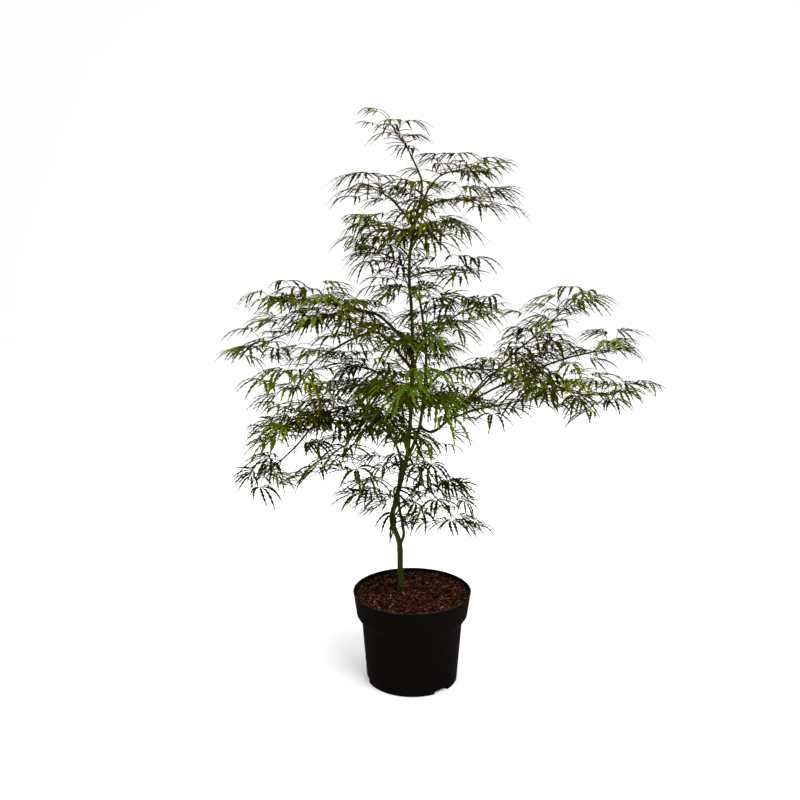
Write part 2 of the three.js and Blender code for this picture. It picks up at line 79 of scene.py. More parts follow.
class Shader:
    def __init__(self, name):
        self.material = bpy.data.materials.new(name)
        self.material.use_nodes = True
        self.tree = self.material.node_tree
        self.tree.nodes.clear()
        self.place = self.node("TexCoord", output="Object")

    def node(self, kind, settings=None, sockets=None, output=0):
        made = self.tree.nodes.new("ShaderNode" + kind)
        for key, value in (settings or {}).items():
            setattr(made, key, value)
        for key, value in (sockets or {}).items():
            if isinstance(value, Wire):
                self.tree.links.new(value.socket, made.inputs[key])
            else:
                made.inputs[key].default_value = value
        return Wire(self, made.outputs[output])

    def speckle(self, scale, detail=2, stretch=(1, 1, 1)):
        spread = self.node("Mapping", {}, {"Vector": self.place, "Scale": stretch})
        return self.node("TexNoise", {}, {"Vector": spread, "Scale": scale, "Detail": detail})

    def mix(self, factor, first, second):
        return self.node("Mix", {"data_type": "RGBA"},
                         {"Factor": factor, 6: paint(first), 7: paint(second)}, output=2)

    def finish(self, colour, roughness, specular, bump=None, bumpDepth=0):
        sockets = {"Base Color": paint(colour), "Roughness": roughness, "Specular IOR Level": specular}
        if bump is not None:
            sockets["Normal"] = self.node(
                "Bump", {}, {"Height": bump, "Strength": bumpDepth, "Distance": mm})
        surface = self.node("BsdfPrincipled", {}, sockets)
        output = self.tree.nodes.new("ShaderNodeOutputMaterial")
        self.tree.links.new(surface.socket, output.inputs["Surface"])
        return self.material


def paint(colour):
    return colour if isinstance(colour, Wire) else (*colour, 1)


# Pieces

def addPiece(name, mesh, material, replaced=()):
    mesh.materials.clear()
    mesh.materials.append(material)
    mesh.shade_smooth()
    piece = bpy.data.objects.new(name, mesh)
    bpy.context.scene.collection.objects.link(piece)
    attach(piece, "root")
    if replaced:
        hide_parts(*replaced)
    print(name, len(mesh.vertices), "vertices", len(mesh.polygons), "faces")


def meshFrom(bm, name):
    bmesh.ops.remove_doubles(bm, verts=bm.verts, dist=1e-7)
    bmesh.ops.recalc_face_normals(bm, faces=bm.faces)
    mesh = bpy.data.meshes.new(name)
    bm.to_mesh(mesh)
    bm.free()
    return mesh


class Bundle:
    # Many small shapes joined in one mesh.
    def __init__(self):
        self.points = []
        self.faces = []
        self.thinness = []
        self.count = 0

    def add(self, points, faces, thinness=None):
        self.points.append(points)
        self.faces.extend([tuple(self.count + corner for corner in face) for face in faces])
        self.thinness.append(np.zeros(len(points)) if thinness is None else thinness)
        self.count += len(points)

    def mesh(self, name):
        mesh = bpy.data.meshes.new(name)
        mesh.from_pydata((np.concatenate(self.points) * mm).tolist(), [], self.faces)
        thin = mesh.attributes.new("thinness", "FLOAT", "POINT")
        thin.data.foreach_set("value", np.concatenate(self.thinness))
        return mesh


# Pot: a rolled lip, a collar that steps in to the body, and three drainage notches at its foot.
pot = {
    "height": 150.7,
    "rimRadius": 95.0,
    "lip": 2.6,
    "collarFoot": (89.0, 111.7),
    "neck": (80.7, 99.3),
    "footRadius": 73.1,
    "wall": 2.0,
    "floor": 3.0,
    "segments": 144,
    "edgeRound": 0.7,
    "sharpAngle": 18,  # degrees between faces from which an edge is rounded
    "colour": (0.0031, 0.0021, 0.0018),
    # the top of the lip is painted a lighter grey: a painted highlight along its edge, partly wear
    "wornColour": (0.13, 0.13, 0.125),
    "wornDepth": 0.9,
}

notch = {"width": 27.0, "height": 7.7, "depth": 16.0, "count": 3, "firstAngle": 39.5}


def potRadius(height):
    if height <= pot["neck"][1]:
        return pot["footRadius"] + (pot["neck"][0] - pot["footRadius"]) * height / pot["neck"][1]
    share = (height - pot["collarFoot"][1]) / (pot["height"] - pot["collarFoot"][1])
    return pot["collarFoot"][0] + (pot["rimRadius"] - pot["collarFoot"][0]) * share


def lathe(bm, profile, segments):
    verts = [bm.verts.new((radius * mm, 0, height * mm)) for radius, height in profile]
    edges = [bm.edges.new(pair) for pair in zip(verts, verts[1:])]
    bmesh.ops.spin(bm, geom=verts + edges, cent=(0, 0, 0), axis=(0, 0, 1), angle=math.tau,
                   steps=segments, use_merge=True)
    bmesh.ops.remove_doubles(bm, verts=bm.verts, dist=1e-7)


def roundSharpEdges(bm, angle, offset):
    bmesh.ops.recalc_face_normals(bm, faces=bm.faces)
    sharp = [edge for edge in bm.edges if edge.calc_face_angle(0) > angle]
    bmesh.ops.bevel(bm, geom=sharp, offset=offset, offset_type="OFFSET", segments=2, profile=0.5,
                    affect="EDGES", material=-1, clamp_overlap=True)


def cutAway(mesh, cutterMesh):
    body = bpy.data.objects.new("body", mesh)
    cutter = bpy.data.objects.new("cutter", cutterMesh)
    for piece in (body, cutter):
        bpy.context.scene.collection.objects.link(piece)
    cut = body.modifiers.new("cut", "BOOLEAN")
    cut.operation = "DIFFERENCE"
    cut.solver = "EXACT"
    cut.object = cutter
    result = bpy.data.meshes.new_from_object(body.evaluated_get(bpy.context.evaluated_depsgraph_get()))
    for piece in (body, cutter):
        bpy.data.objects.remove(piece)
    return result


def potMaterial():
    shader = Shader("potPlastic")
    height = shader.node("SeparateXYZ", {}, {0: shader.place}, output="Z")
    # Painted highlight on the top of the lip, broken into patches, partly standing for wear.
    lipWearAndHighlight = height.clipped((pot["height"] - pot["wornDepth"]) * mm, pot["height"] * mm)
    patches = shader.speckle(60, 3).clipped(0.35, 0.7)
    colour = shader.mix(lipWearAndHighlight * patches, pot["colour"], pot["wornColour"])
    return shader.finish(colour, 0.75 + 0.15 * shader.speckle(25), specular=0.012)


def makePot():
    lip = pot["lip"]
    lipFoot = pot["height"] - lip
    inner = pot["wall"]
    bm = bmesh.new()
    lathe(bm, [
        (0, 0),
        (pot["footRadius"], 0),
        pot["neck"],
        pot["collarFoot"],
        (potRadius(lipFoot) - 0.4, lipFoot),
        (pot["rimRadius"], pot["height"] - lip / 2),
        (pot["rimRadius"] - lip / 2, pot["height"]),
        (pot["rimRadius"] - lip, pot["height"] - lip / 2),
        (potRadius(lipFoot) - inner, lipFoot),
        (pot["collarFoot"][0] - inner, pot["collarFoot"][1] + 1),
        (pot["neck"][0] - inner, pot["neck"][1] + 1),
        (potRadius(pot["floor"]) - inner, pot["floor"]),
        (0, pot["floor"]),
    ], pot["segments"])
    roundSharpEdges(bm, math.radians(pot["sharpAngle"]), pot["edgeRound"] * mm)
    cutters = bmesh.new()
    for index in range(notch["count"]):
        turn = math.radians(notch["firstAngle"] + index * 360 / notch["count"])
        place = (Matrix.Rotation(turn, 4, "Z") @ Matrix.Translation((0, -pot["footRadius"] * mm, 0))
                 @ Matrix.Diagonal((notch["width"] * mm, notch["depth"] * mm, 2 * notch["height"] * mm, 1)))
        bmesh.ops.create_cube(cutters, size=1, matrix=place)
    mesh = cutAway(meshFrom(bm, "potShell"), meshFrom(cutters, "notches"))
    addPiece("potShell", mesh, potMaterial(), ["pot"])


makePot()


# Compost: a lumpy bed of peat, with a hollow beside the trunk, under bark chips and fibres.
compost = {
    "top": 145.0,
    "foot": 118.0,
    "edgeDrop": 1.5,
    "rings": 64,
    "segments": 200,
    "lumps": ((22.0, 2.0), (7.0, 1.4), (2.6, 0.9)),  # width and height of each size of lump
    "hollow": (-28.5, 24.0, 7.5, 13.0),  # place, radius and depth
    "colour": (0.006, 0.0028, 0.0015),
    "lighter": 2.6,
    "seam": 0.2,  # between the bed and the pot's wall
}

# Chips and fibres: how many, length, width, thickness and colours.
chips = {
    "peatCrumbs": (2400, (1.5, 5.0), (1.0, 3.0), (0.6, 1.8), (0.004, 0.002, 0.001), (0.03, 0.01, 0.004)),
    "redChips": (1250, (3.0, 10.0), (1.0, 2.8), (0.5, 1.3), (0.025, 0.006, 0.003), (0.16, 0.04, 0.017)),
    "brownChips": (850, (3.0, 10.0), (0.9, 2.4), (0.5, 1.2), (0.02, 0.009, 0.004), (0.13, 0.056, 0.018)),
    "tanChips": (120, (3.0, 11.0), (0.9, 2.8), (0.5, 1.2), (0.16, 0.07, 0.025), (0.42, 0.2, 0.1)),
}

mulch = {
    "edgeGap": 2.0,
    "shortest": 2.5,  # beside the pot's wall, where long chips wouldn't fit
    "taper": (0.35, 1),
    "blunt": (0.75, 1),
    "pitch": 0.25,
    "roll": 0.5,
    "lift": (-0.8, 1.6),
    "seed": 5,
}


def compostHeight(x, y):
    place = Vector((x, y, 0))
    height = compost["top"]
    for width, rise in compost["lumps"]:
        height += rise * noise.noise(place / width + Vector((0, 0, width)))
    left, back, radius, depth = compost["hollow"]
    away = math.hypot(x - left, y - back) / radius
    reach = math.hypot(x, y) / (potRadius(compost["top"]) - pot["wall"])
    return height - depth * math.exp(-away * away) - compost["edgeDrop"] * reach ** 6


def makeCompost():
    edge, foot = [potRadius(compost[level]) - pot["wall"] - compost["seam"] for level in ("top", "foot")]
    rings = compost["rings"]
    profile = [(0, compost["foot"]), (foot, compost["foot"])]
    profile += [(edge * (1 - ring / rings), compost["top"]) for ring in range(rings + 1)]
    bm = bmesh.new()
    lathe(bm, profile, compost["segments"])
    for vert in bm.verts:
        if vert.co.z > (compost["top"] - 1) * mm:
            vert.co.z = compostHeight(vert.co.x / mm, vert.co.y / mm) * mm
    shader = Shader("peat")
    tone = shader.speckle(120, 4)
    lighter = tuple(compost["lighter"] * channel for channel in compost["colour"])
    material = shader.finish(shader.mix(tone.clipped(0.35, 0.75), compost["colour"], lighter), 0.95,
                             specular=0.02, bump=tone, bumpDepth=0.8)
    addPiece("compostBed", meshFrom(bm, "compostBed"), material, ["soil"])


chipFaces = [(0, 1, 2, 3), (7, 6, 5, 4), (0, 4, 5, 1), (1, 5, 6, 2), (2, 6, 7, 3), (3, 7, 4, 0)]


def chipShape(length, width, thickness, draw):
    corners = []
    for level in (-1, 1):
        for along, across in ((-1, -1), (1, -1), (1, 1), (-1, 1)):
            taper = draw.uniform(*mulch["taper"])
            blunt = draw.uniform(*mulch["blunt"])
            corners.append((along * length / 2 * blunt, across * width / 2 * taper, level * thickness / 2))
    return np.array(corners)


def turned(points, yaw, pitch, roll):
    turn = Matrix.Rotation(yaw, 3, "Z") @ Matrix.Rotation(pitch, 3, "Y") @ Matrix.Rotation(roll, 3, "X")
    return points @ np.array(turn).T


def makeMulch():
    draw = random.Random(mulch["seed"])
    edge = potRadius(compost["top"]) - pot["wall"] - mulch["edgeGap"]
    for name, (count, lengths, widths, depths, dark, light) in chips.items():
        bundle = Bundle()
        for _ in range(count):
            radius = edge * math.sqrt(draw.random())
            angle = draw.uniform(0, math.tau)
            x, y = radius * math.cos(angle), radius * math.sin(angle)
            length = min(draw.uniform(*lengths), mulch["shortest"] + 2 * (edge - radius))
            shape = chipShape(length, draw.uniform(*widths), draw.uniform(*depths), draw)
            yaw = draw.uniform(0, math.tau)
            shape = turned(shape, yaw, draw.gauss(0, mulch["pitch"]), draw.gauss(0, mulch["roll"]))
            bundle.add(shape + (x, y, compostHeight(x, y) + draw.uniform(*mulch["lift"])), chipFaces)
        shader = Shader(name)
        tone = shader.speckle(130, 3)
        material = shader.finish(shader.mix(tone.clipped(0.38, 0.68), dark, light), 0.9, specular=0.03)
        addPiece(name, bundle.mesh(name), material)


makeCompost()
makeMulch()


# Limbs: the trunk, two stems and the boughs, each a tapering crooked limb.
trunk = {"foot": 4.9, "tip": 1.3, "flare": 1.5, "flareHeight": 9.0, "steps": 26}
trunkBends = [
    (-17.3, 27, 136), (-19.3, 26, 182), (-20.5, 24, 221), (-32.5, 20, 261.5), (-28.6, 17, 286),
    (-15.6, 11, 339.5), (-7.7, 7, 378), (-2.2, 6, 462), (-1, 8, 580), (-5.5, 5, 676),
    (3.1, 3, 735), (12.7, 0, 792), (-5, 0, 836),
]

# Each limb: its base and tip radii and the bends it passes.
limbPlans = {
    "stem_left": (2.5, 1.9, [
        (-20.2, 24, 216), (-13.8, 22, 235), (-15, 24, 250), (-21, 29, 284), (-21.7, 28.5, 316),
        (-18.5, 19, 362), (-33, 9, 402), (-52, 22, 420)]),
    "stem_right": (3, 1.6, [
        (-9.8, 8, 368), (-0.6, 3, 386), (11.8, -2, 426), (17.8, -3, 480), (20.3, 0, 548),
        (13, 4, 604), (9, 7, 624)]),
    "bough_upper_right": (1.9, 1.3, [(5, 2.6, 750), (15, 5, 768), (24, 10, 785), (34, 15, 797)]),
    "bough_upper_right_low": (1.9, 1.3, [(3.4, 3, 737), (20, -8, 758), (35, -22, 766), (52, -32, 770)]),
    "bough_upper_left": (1.9, 1.3, [(2, 3, 729), (-15, 6, 750), (-33, 10, 769), (-42, 12, 775)]),
    "bough_left_top": (2.4, 1.5, [(-1.4, 7.7, 538), (-23, 0, 568), (-53, -10, 597), (-94, -20, 611)]),
    "bough_left_far": (1.7, 1.2, [(-70, -14, 604), (-111, 5, 600), (-146, 25, 584), (-172, 34, 572)]),
    "bough_left_arch": (2.4, 1.5, [
        (-1.8, 7, 512), (-33, -8, 552), (-55, -19, 573), (-86, -28, 566), (-136, -42, 541)]),
    "bough_left_low_far": (1.8, 1.3, [
        (-33, 9, 402), (-44, 2, 428), (-62, 1, 450), (-85, 0, 456), (-130, -4, 443), (-172, -7, 431)]),
    "bough_left_hang": (1.6, 1.2, [
        (-130, -4, 443), (-156, -10, 422), (-177, -19, 398), (-192, -25, 384)]),
    "bough_left_under": (1.6, 1.2, [(-44, 2, 428), (-58, -15, 430), (-75, -42, 423), (-92, -66, 408)]),
    "bough_front": (2.2, 1.4, [(-2.1, 6.2, 475), (-3, -40, 507), (-7, -85, 526), (-10, -118, 527)]),
    "bough_back": (2.2, 1.4, [(-2.1, 6.1, 466), (2, 50, 490), (7, 95, 511), (12, 128, 519)]),
    "bough_back_left": (2.2, 1.4, [(-2.7, 6, 446), (-20, 45, 469), (-57, 95, 488), (-88, 136, 489)]),
    "bough_back_right": (2, 1.4, [(17.7, -3, 477), (38, 40, 491), (68, 95, 495), (104, 136, 485)]),
    "bough_right_low": (2.3, 1.4, [
        (10.6, -1.5, 421), (29, -10, 415), (49, -16, 431), (68, -20, 453), (110, -13, 493),
        (149, 2, 531), (176, 9, 553)]),
    "bough_right_outer": (1.9, 1.3, [
        (70, -20, 455), (110, -24, 480), (163, -20, 505), (216, -15, 527), (262, -12, 539)]),
    "bough_right_hang": (1.6, 1.2, [(136, -22, 494), (180, 0, 494), (216, 18, 483), (244, 25, 472)]),
    "bough_right_mid": (1.6, 1.2, [(84, -18.5, 468), (102, 0, 486), (116, 25, 494), (130, 45, 498)]),
    "bough_right_front": (1.6, 1.2, [(52, -16.6, 434.5), (76, -35, 450), (101, -49, 462), (124, -58, 469)]),
}
stepsPerBend = 2

bark = {
    "ringGap": 2.5,
    "trunkSides": 16,
    "boughSides": 10,
    "ripple": 0.07,  # share of the radius
    "rippleLength": 11.0,
    "rippleTurns": 1.3,
    "wander": 0.5,
    "wanderLength": 17.0,
    "easeLength": 20.0,  # at each end, where a limb doesn't wander
    "nodeGap": 37.0,  # between the swollen rings left by old leaf pairs
    "nodeSwell": 0.14,
    "nodeLength": 1.8,
    "collar": 0.9,  # swelling where a bough leaves its limb
    "collarLength": 5.0,
    "seed": 4,
    "seedStep": 3.7,
    "trunkGreenShare": 0.28,
    "boughGreenShare": 0.12,
    "trunkGreen": (0.028, 0.037, 0.005),
    "trunkBrown": (0.038, 0.021, 0.006),
    "boughBrown": (0.02, 0.012, 0.004),
    "boughGreen": (0.026, 0.026, 0.005),
}


def unit(way):
    return way / np.linalg.norm(way)


def smoothPath(bends, steps):
    points = np.array(bends, float)
    last = len(points) - 1
    ends = [2 * points[0] - points[1], *points, 2 * points[-1] - points[-2]]
    path = []
    for step in range(steps + 1):
        start = min(int(last * step / steps), last - 1)
        share = last * step / steps - start
        before, near, far, after = ends[start:start + 4]
        gaps = [np.linalg.norm(b - a) ** 0.5 for a, b in ((before, near), (near, far), (far, after))]
        nearSlope = ((near - before) / gaps[0] - (far - before) / (gaps[0] + gaps[1])
                     + (far - near) / gaps[1]) * gaps[1]
        farSlope = ((far - near) / gaps[1] - (after - near) / (gaps[1] + gaps[2])
                    + (after - far) / gaps[2]) * gaps[1]
        square, cube = share * share, share ** 3
        path.append(near + nearSlope * share + (3 * far - 3 * near - 2 * nearSlope - farSlope) * square
                    + (2 * near - 2 * far + nearSlope + farSlope) * cube)
    return np.array(path)


def makeLimb(base, tip, bends, steps, flare=0):
    path = smoothPath(bends, steps)
    shares = np.linspace(0, 1, steps + 1)
    radii = base + (tip - base) * shares + flare * np.exp((path[0, 2] - path[:, 2]) / trunk["flareHeight"])
    return {"path": path, "radii": radii, "bends": bends}


limbs = {"trunk": makeLimb(trunk["foot"], trunk["tip"], trunkBends, trunk["steps"], trunk["flare"])}
for limbName, (limbBase, limbTip, limbBends) in limbPlans.items():
    limbs[limbName] = makeLimb(limbBase, limbTip, limbBends, (len(limbBends) - 1) * stepsPerBend)


def pathLengths(path):
    return np.concatenate([[0], np.cumsum(np.linalg.norm(np.diff(path, axis=0), axis=1))])


def carryAcross(path):
    # Frames along a path that don't twist: the way along, and two ways square to it.
    alongs = np.gradient(path, axis=0)
    across = np.array([0.0, 1.0, 0.0])
    frames = []
    for along in alongs:
        along = unit(along)
        across = unit(across - along * across.dot(along))
        frames.append((along, across, np.cross(along, across)))
    return frames


def barkRadius(base, angle, distance, seed):
    way = Vector((math.cos(angle), math.sin(angle), distance / bark["rippleLength"] + seed))
    toNode = (distance + bark["nodeGap"] / 2) % bark["nodeGap"] - bark["nodeGap"] / 2
    node = bark["nodeSwell"] * math.exp(-(toNode / bark["nodeLength"]) ** 2)
    return base * (1 + bark["ripple"] * noise.noise(way * bark["rippleTurns"]) + node)


def ringEdges(ring):
    # Each edge once, in an order that is the same in every run.
    edges = [edge for vert in ring for edge in vert.link_edges if edge.other_vert(vert) in ring]
    return list(dict.fromkeys(edges))


def growLimb(bm, name, sides):
    limb = limbs[name]
    seed = bark["seedStep"] * sorted(limbs).index(name)
    count = int(pathLengths(limb["path"])[-1] / bark["ringGap"])
    path = smoothPath(limb["bends"], count)
    lengths = pathLengths(path)
    radii = np.interp(np.linspace(0, 1, count + 1), np.linspace(0, 1, len(limb["radii"])), limb["radii"])
    if name != "trunk":
        radii += bark["collar"] * np.exp(-lengths / bark["collarLength"])
    ease = np.clip(lengths / bark["easeLength"], 0, 1)
    ease = ease * np.clip((lengths[-1] - lengths) / bark["easeLength"], 0, 1)
    drift = [noise.noise_vector(Vector((seed, 0, length / bark["wanderLength"]))) for length in lengths]
    path = path + np.array(drift) * bark["wander"] * ease[:, None]
    frames = carryAcross(path)
    ring = bmesh.ops.create_circle(bm, cap_ends=True, segments=sides, radius=1)["verts"]
    for index, (_, across, side) in enumerate(frames):
        if index == 0:
            angles = {vert: math.atan2(vert.co.y, vert.co.x) for vert in ring}
        else:
            grown = bmesh.ops.extrude_edge_only(bm, edges=ringEdges(ring))["geom"]
            ring = [item for item in grown if isinstance(item, bmesh.types.BMVert)]
            before = frames[index - 1]
            offsets = {vert: np.array(vert.co) / mm - path[index - 1] for vert in ring}
            angles = {vert: math.atan2(offset.dot(before[2]), offset.dot(before[1]))
                      for vert, offset in offsets.items()}
        for vert, angle in angles.items():
            radius = barkRadius(radii[index], angle, lengths[index], seed)
            out = across * math.cos(angle) + side * math.sin(angle)
            vert.co = Vector((path[index] + radius * out) * mm)
    bmesh.ops.edgeloop_fill(bm, edges=ringEdges(ring))


def barkMaterial(name, green, brown, greenShare):
    shader = Shader(name)
    streaks = shader.speckle(90, 4, (1, 1, 0.12))
    patches = shader.speckle(22, 3, (1, 1, 0.5))
    brownness = (streaks * 0.6 + patches * 0.6 - greenShare).clipped(0.3, 0.5)
    colour = shader.mix(brownness, green, brown)
    flecks = shader.speckle(420, 2, (1, 1, 0.5)).clipped(0.62, 0.72)
    paler = tuple(3 * channel for channel in brown)
    return shader.finish(shader.mix(flecks * 0.5, colour, paler), 0.6 + 0.2 * streaks, specular=0.03,
                         bump=streaks + 0.5 * flecks, bumpDepth=0.5)


def makeBark(name, limbNames, sides, material):
    bm = bmesh.new()
    for limbName in limbNames:
        growLimb(bm, limbName, sides)
    addPiece(name, meshFrom(bm, name), material, limbNames)


noise.seed_set(bark["seed"])
trunkNames = ["trunk", "stem_left", "stem_right"]
boughNames = [name for name in limbs if name not in trunkNames]
makeBark("trunkBark", trunkNames, bark["trunkSides"],
         barkMaterial("trunkBark", bark["trunkGreen"], bark["trunkBrown"], bark["trunkGreenShare"]))
makeBark("boughBark", boughNames, bark["boughSides"],
         barkMaterial("boughBark", bark["boughGreen"], bark["boughBrown"], bark["boughGreenShare"]))


# A leaf: seven long fingers, each toothed along both sides, thin at the hub and at its drooping tip.
blade = {
    "turns": (0, 31, -31, 63, -63, 99, -99),
    "lengths": (1, 0.95, 0.95, 0.8, 0.8, 0.52, 0.52),
    "cuts": (0.0, 0.2, 0.38, 0.55, 0.71, 0.86, 1.0),
    "toothWidth": 0.055,  # half-width at the teeth, in leaf lengths
    "notchShare": 0.5,
    "toothLead": 0.08,  # how far a tooth points forward
    "hubTaper": (0.3, 1.2, 0.12),  # reach, power and least width
    "tipTaper": (0.4, 0.8, 0.12),
    "fold": 0.25,
    "arch": 0.1,
    "sag": (0.12, 0.4),
    "sagPower": 2.2,
    "curl": 0.3,
    "comb": 0.28,  # how far the side fingers bend forward
    "turnSpread": 6,
    "lengthSpread": (0.86, 1.06),
    "variants": 14,
    "seed": 77,
    "bronzeFrom": 630.0,
    "bronzeFull": 760.0,
    "bronzeShare": 0.4,
    "bronzeLeast": 0.06,
    "midShare": 0.35,
    "fresh": ("foliage_front", "foliage_front_low", "foliage_center"),
    "freshShare": 0.7,
    "tints": {
        # the darkest tint is painted shade for leaves low in and inside the crown, and stands for older
        # leaves too
        "leavesDeep": ((0.004, 0.007, 0.0002), (0.011, 0.017, 0.0004)),
        "leavesMid": ((0.017, 0.026, 0.0004), (0.036, 0.05, 0.0008)),
        "leavesYoung": ((0.039, 0.06, 0.001), (0.067, 0.096, 0.002)),
        "leavesFresh": ((0.014, 0.03, 0.0006), (0.036, 0.07, 0.0015)),
        "leavesBronze": ((0.009, 0.009, 0.0003), (0.022, 0.021, 0.0006)),
    },
    "tipGain": (2.2, 1.6, 2),  # the tips are the light tint times this
    "tipRise": (0.02, 0.016, 0.001),  # and plus this
    "tipShare": 0.6,
}


# Foliage. Each mass: what bears it, the height at which it leaves a trunk or stem (None: at the limb's
# tip), the middle and half-sizes of its space, its leaves in the solids and their length, how many
# finer leaves are added for each of those, and the share of young bright leaves.
massPlans = [
    ("tip", "trunk", None, (-20, -2, 858), (62, 54, 44), 7, 43, 0.8, 0.15),
    ("upper_right", "bough_upper_right", None, (58, 25, 806), (100, 66, 42), 9, 52, 1.4, 0.04),
    ("upper_right_low", "bough_upper_right_low", None, (83, -47, 769), (78, 64, 49), 8, 52, 1.1, 0.04),
    ("upper_left", "bough_upper_left", None, (-50, 15, 779), (92, 66, 42), 8, 50, 0.15, 0.05),
    ("upper_left_low", "trunk", 716, (-60, -45, 731), (56, 66, 45), 7, 52, 1.8, 0.03),
    ("upper_front", "trunk", 705, (22, -96, 728), (63, 72, 56), 11, 54, 2.6, 0.05),
    ("upper_back", "trunk", 722, (4, 105, 772), (68, 76, 45), 8, 54, 0.5, 0.03),
    ("mid_right", "trunk", 652, (64, -25, 664), (76, 66, 34), 6, 54, 0, 0.05),
    ("mid_left", "trunk", 660, (-43, 40, 682), (66, 66, 44), 9, 54, 2.6, 0.05),
    ("mid_back", "trunk", 610, (-10, 110, 632), (79, 80, 54), 8, 56, 0.3, 0.1),
    ("left_top", "bough_left_top", None, (-156, -30, 621), (92, 70, 40), 10, 56, 1.75, 0.4),
    ("left_inner", "trunk", 556, (-93, 60, 574), (90, 70, 65), 10, 56, 1.8, 0.15),
    ("left_far", "bough_left_far", None, (-238, 42, 542), (64, 72, 58), 9, 56, 0.85, 0.3),
    ("left_arch", "bough_left_arch", None, (-176, -58, 480), (82, 76, 58), 9, 56, 1.7, 0.3),
    ("left_mid", "trunk", 486, (-80, 12, 480), (96, 66, 60), 9, 56, 2.4, 0.2),
    ("left_low_far", "bough_left_low_far", None, (-190, -10, 422), (70, 70, 48), 9, 56, 2.4, 0.3),
    ("left_low", "stem_left", None, (-90, 70, 420), (105, 78, 60), 10, 56, 2.2, 0.1),
    ("left_hang", "bough_left_hang", None, (-226, -36, 358), (48, 60, 78), 8, 54, 1, 0.3),
    ("left_under", "bough_left_under", None, (-118, -92, 393), (73, 72, 70), 9, 56, 0.5, 0.25),
    ("front", "bough_front", None, (-6, -178, 512), (76, 76, 58), 12, 58, 2.2, 0.6),
    ("front_low", "trunk", 398, (-37, -98, 446), (62, 84, 48), 7, 56, 2, 0.45),
    ("right_inner", "stem_right", 560, (76, 10, 596), (92, 64, 38), 9, 54, 1.5, 0.2),
    ("right_top", "bough_right_low", None, (228, 20, 598), (94, 72, 50), 10, 56, 0.8, 0.2),
    ("right_tip", "bough_right_outer", None, (294, -16, 544), (68, 70, 70), 10, 54, 0.55, 0.25),
    ("right_hang", "bough_right_hang", None, (302, 40, 466), (90, 72, 62), 9, 56, 0.8, 0.25),
    ("right_mid", "bough_right_mid", None, (200, 85, 514), (82, 74, 60), 10, 56, 1, 0.15),
    ("right_front", "bough_right_front", None, (185, -84, 489), (99, 76, 45), 10, 56, 1.1, 0.22),
    ("right_low", "stem_right", 448, (44, 40, 446), (66, 66, 48), 7, 54, 1.4, 0.15),
    ("center", "trunk", 545, (8, -78, 568), (53, 76, 60), 8, 56, 2, 0.4),
    ("back", "bough_back", None, (24, 190, 554), (78, 78, 64), 8, 58, 0.7, 0.1),
    ("back_left", "bough_back_left", None, (-125, 190, 483), (69, 80, 72), 8, 58, 0.4, 0.1),
    ("back_right", "bough_back_right", None, (172, 198, 474), (84, 80, 72), 8, 58, 0.8, 0.1),
    ("bottom_left", "trunk", 300, (-56, -14, 314), (64, 64, 53), 8, 52, 1.4, 0.03),
    ("bottom_right", "trunk", 342, (46, -22, 298), (72, 66, 72), 9, 52, 2.4, 0.05),
    ("bottom_back", "trunk", 326, (-4, 96, 338), (60, 74, 58), 8, 54, 0.3, 0.03),
]
massKeys = ["name", "limb", "height", "middle", "half", "leafCount", "leafLength", "finer", "young"]
firstSeed = 11

# The rule of the solids: where twigs and leaves may stand and how far they keep apart.
seat = 0.3  # between pieces that grow from one another
flatness = 2.2  # how much less a mass reaches up than sideways where it meets its neighbours
twig = {"stemRadius": 1.7, "stemTip": 1.3, "stemSteps": 3, "sideRadius": 0.9, "sampleGap": 4.0}
leafRule = {
    "turns": (0, 40, 86, 274, 320),
    "lengths": (1, 0.94, 0.74, 0.74, 0.94),
    "notchReach": 0.17,
    "backReach": 0.1,
    "sag": 0.22,
    "halfWidth": 4.0,
    "tipHalfWidth": 0.5,
    "middle": 0.4,
    "stalkRadius": 0.5,
    "longestStalk": 55.0,
}
growth = {
    "stemRise": 0.35,
    "stemBow": 0.5,
    "pastMiddle": 0.22,
    "leastReach": 0.5,
    "bareStem": 5.0,
    "sideShare": 0.5,
    "sideSlant": 0.6,
    "sideReach": 0.55,
    "tries": 4000,
    "drawsPerTry": 7,
    "choices": 8,
    "spread": 0.85,
    "lowest": -0.8,
    "turn": 1.8,
    "roll": 0.9,
    "droop": (0.05, 0.7),
    "size": (0.88, 1.12),
    "enough": 4.0,
}

streamRule = {"spread": 7919, "factor": 16807, "modulus": 2147483647}

# What is added here: more pairs of side twigs and more leaves, which may brush against each other.
finer = {
    "amount": 0.76,
    "shares": (0.25, 0.75),  # where the added side twigs leave the stem
    "reach": 0.6,
    "leader": 0.42,  # how far a twig goes on past the stem's tip
    "branchShare": 0.5,
    "branchReach": 0.4,
    "twigRise": 0.4,
    "drawIn": np.array([0.85, 0.85, 0.8]),
    "level": 0.3,  # share of the droop that a main leaf keeps
    "nodeGap": 17.0,
    "stalkTurn": (30, 75),  # degrees from the twig's way
    "stalkRise": (-25, 45),
    "stalk": (12.0, 28.0),
    "turn": 0.5,
    "droop": (-0.22, 0.38),
    "roll": 0.3,
    "size": (0.68, 1.0),
    "hubRoom": np.array([1.12, 1.05, 1.4]),  # in half-sizes of the mass's space
    "tipRoom": np.array([1.38, 1.28, 1.8]),
    "rounds": 3,  # how often each twig's pairs of leaves are drawn
    "choices": 8,
    "outward": 0.2,  # how much a leaf far out is preferred
    "limbMargin": 0.5,
}

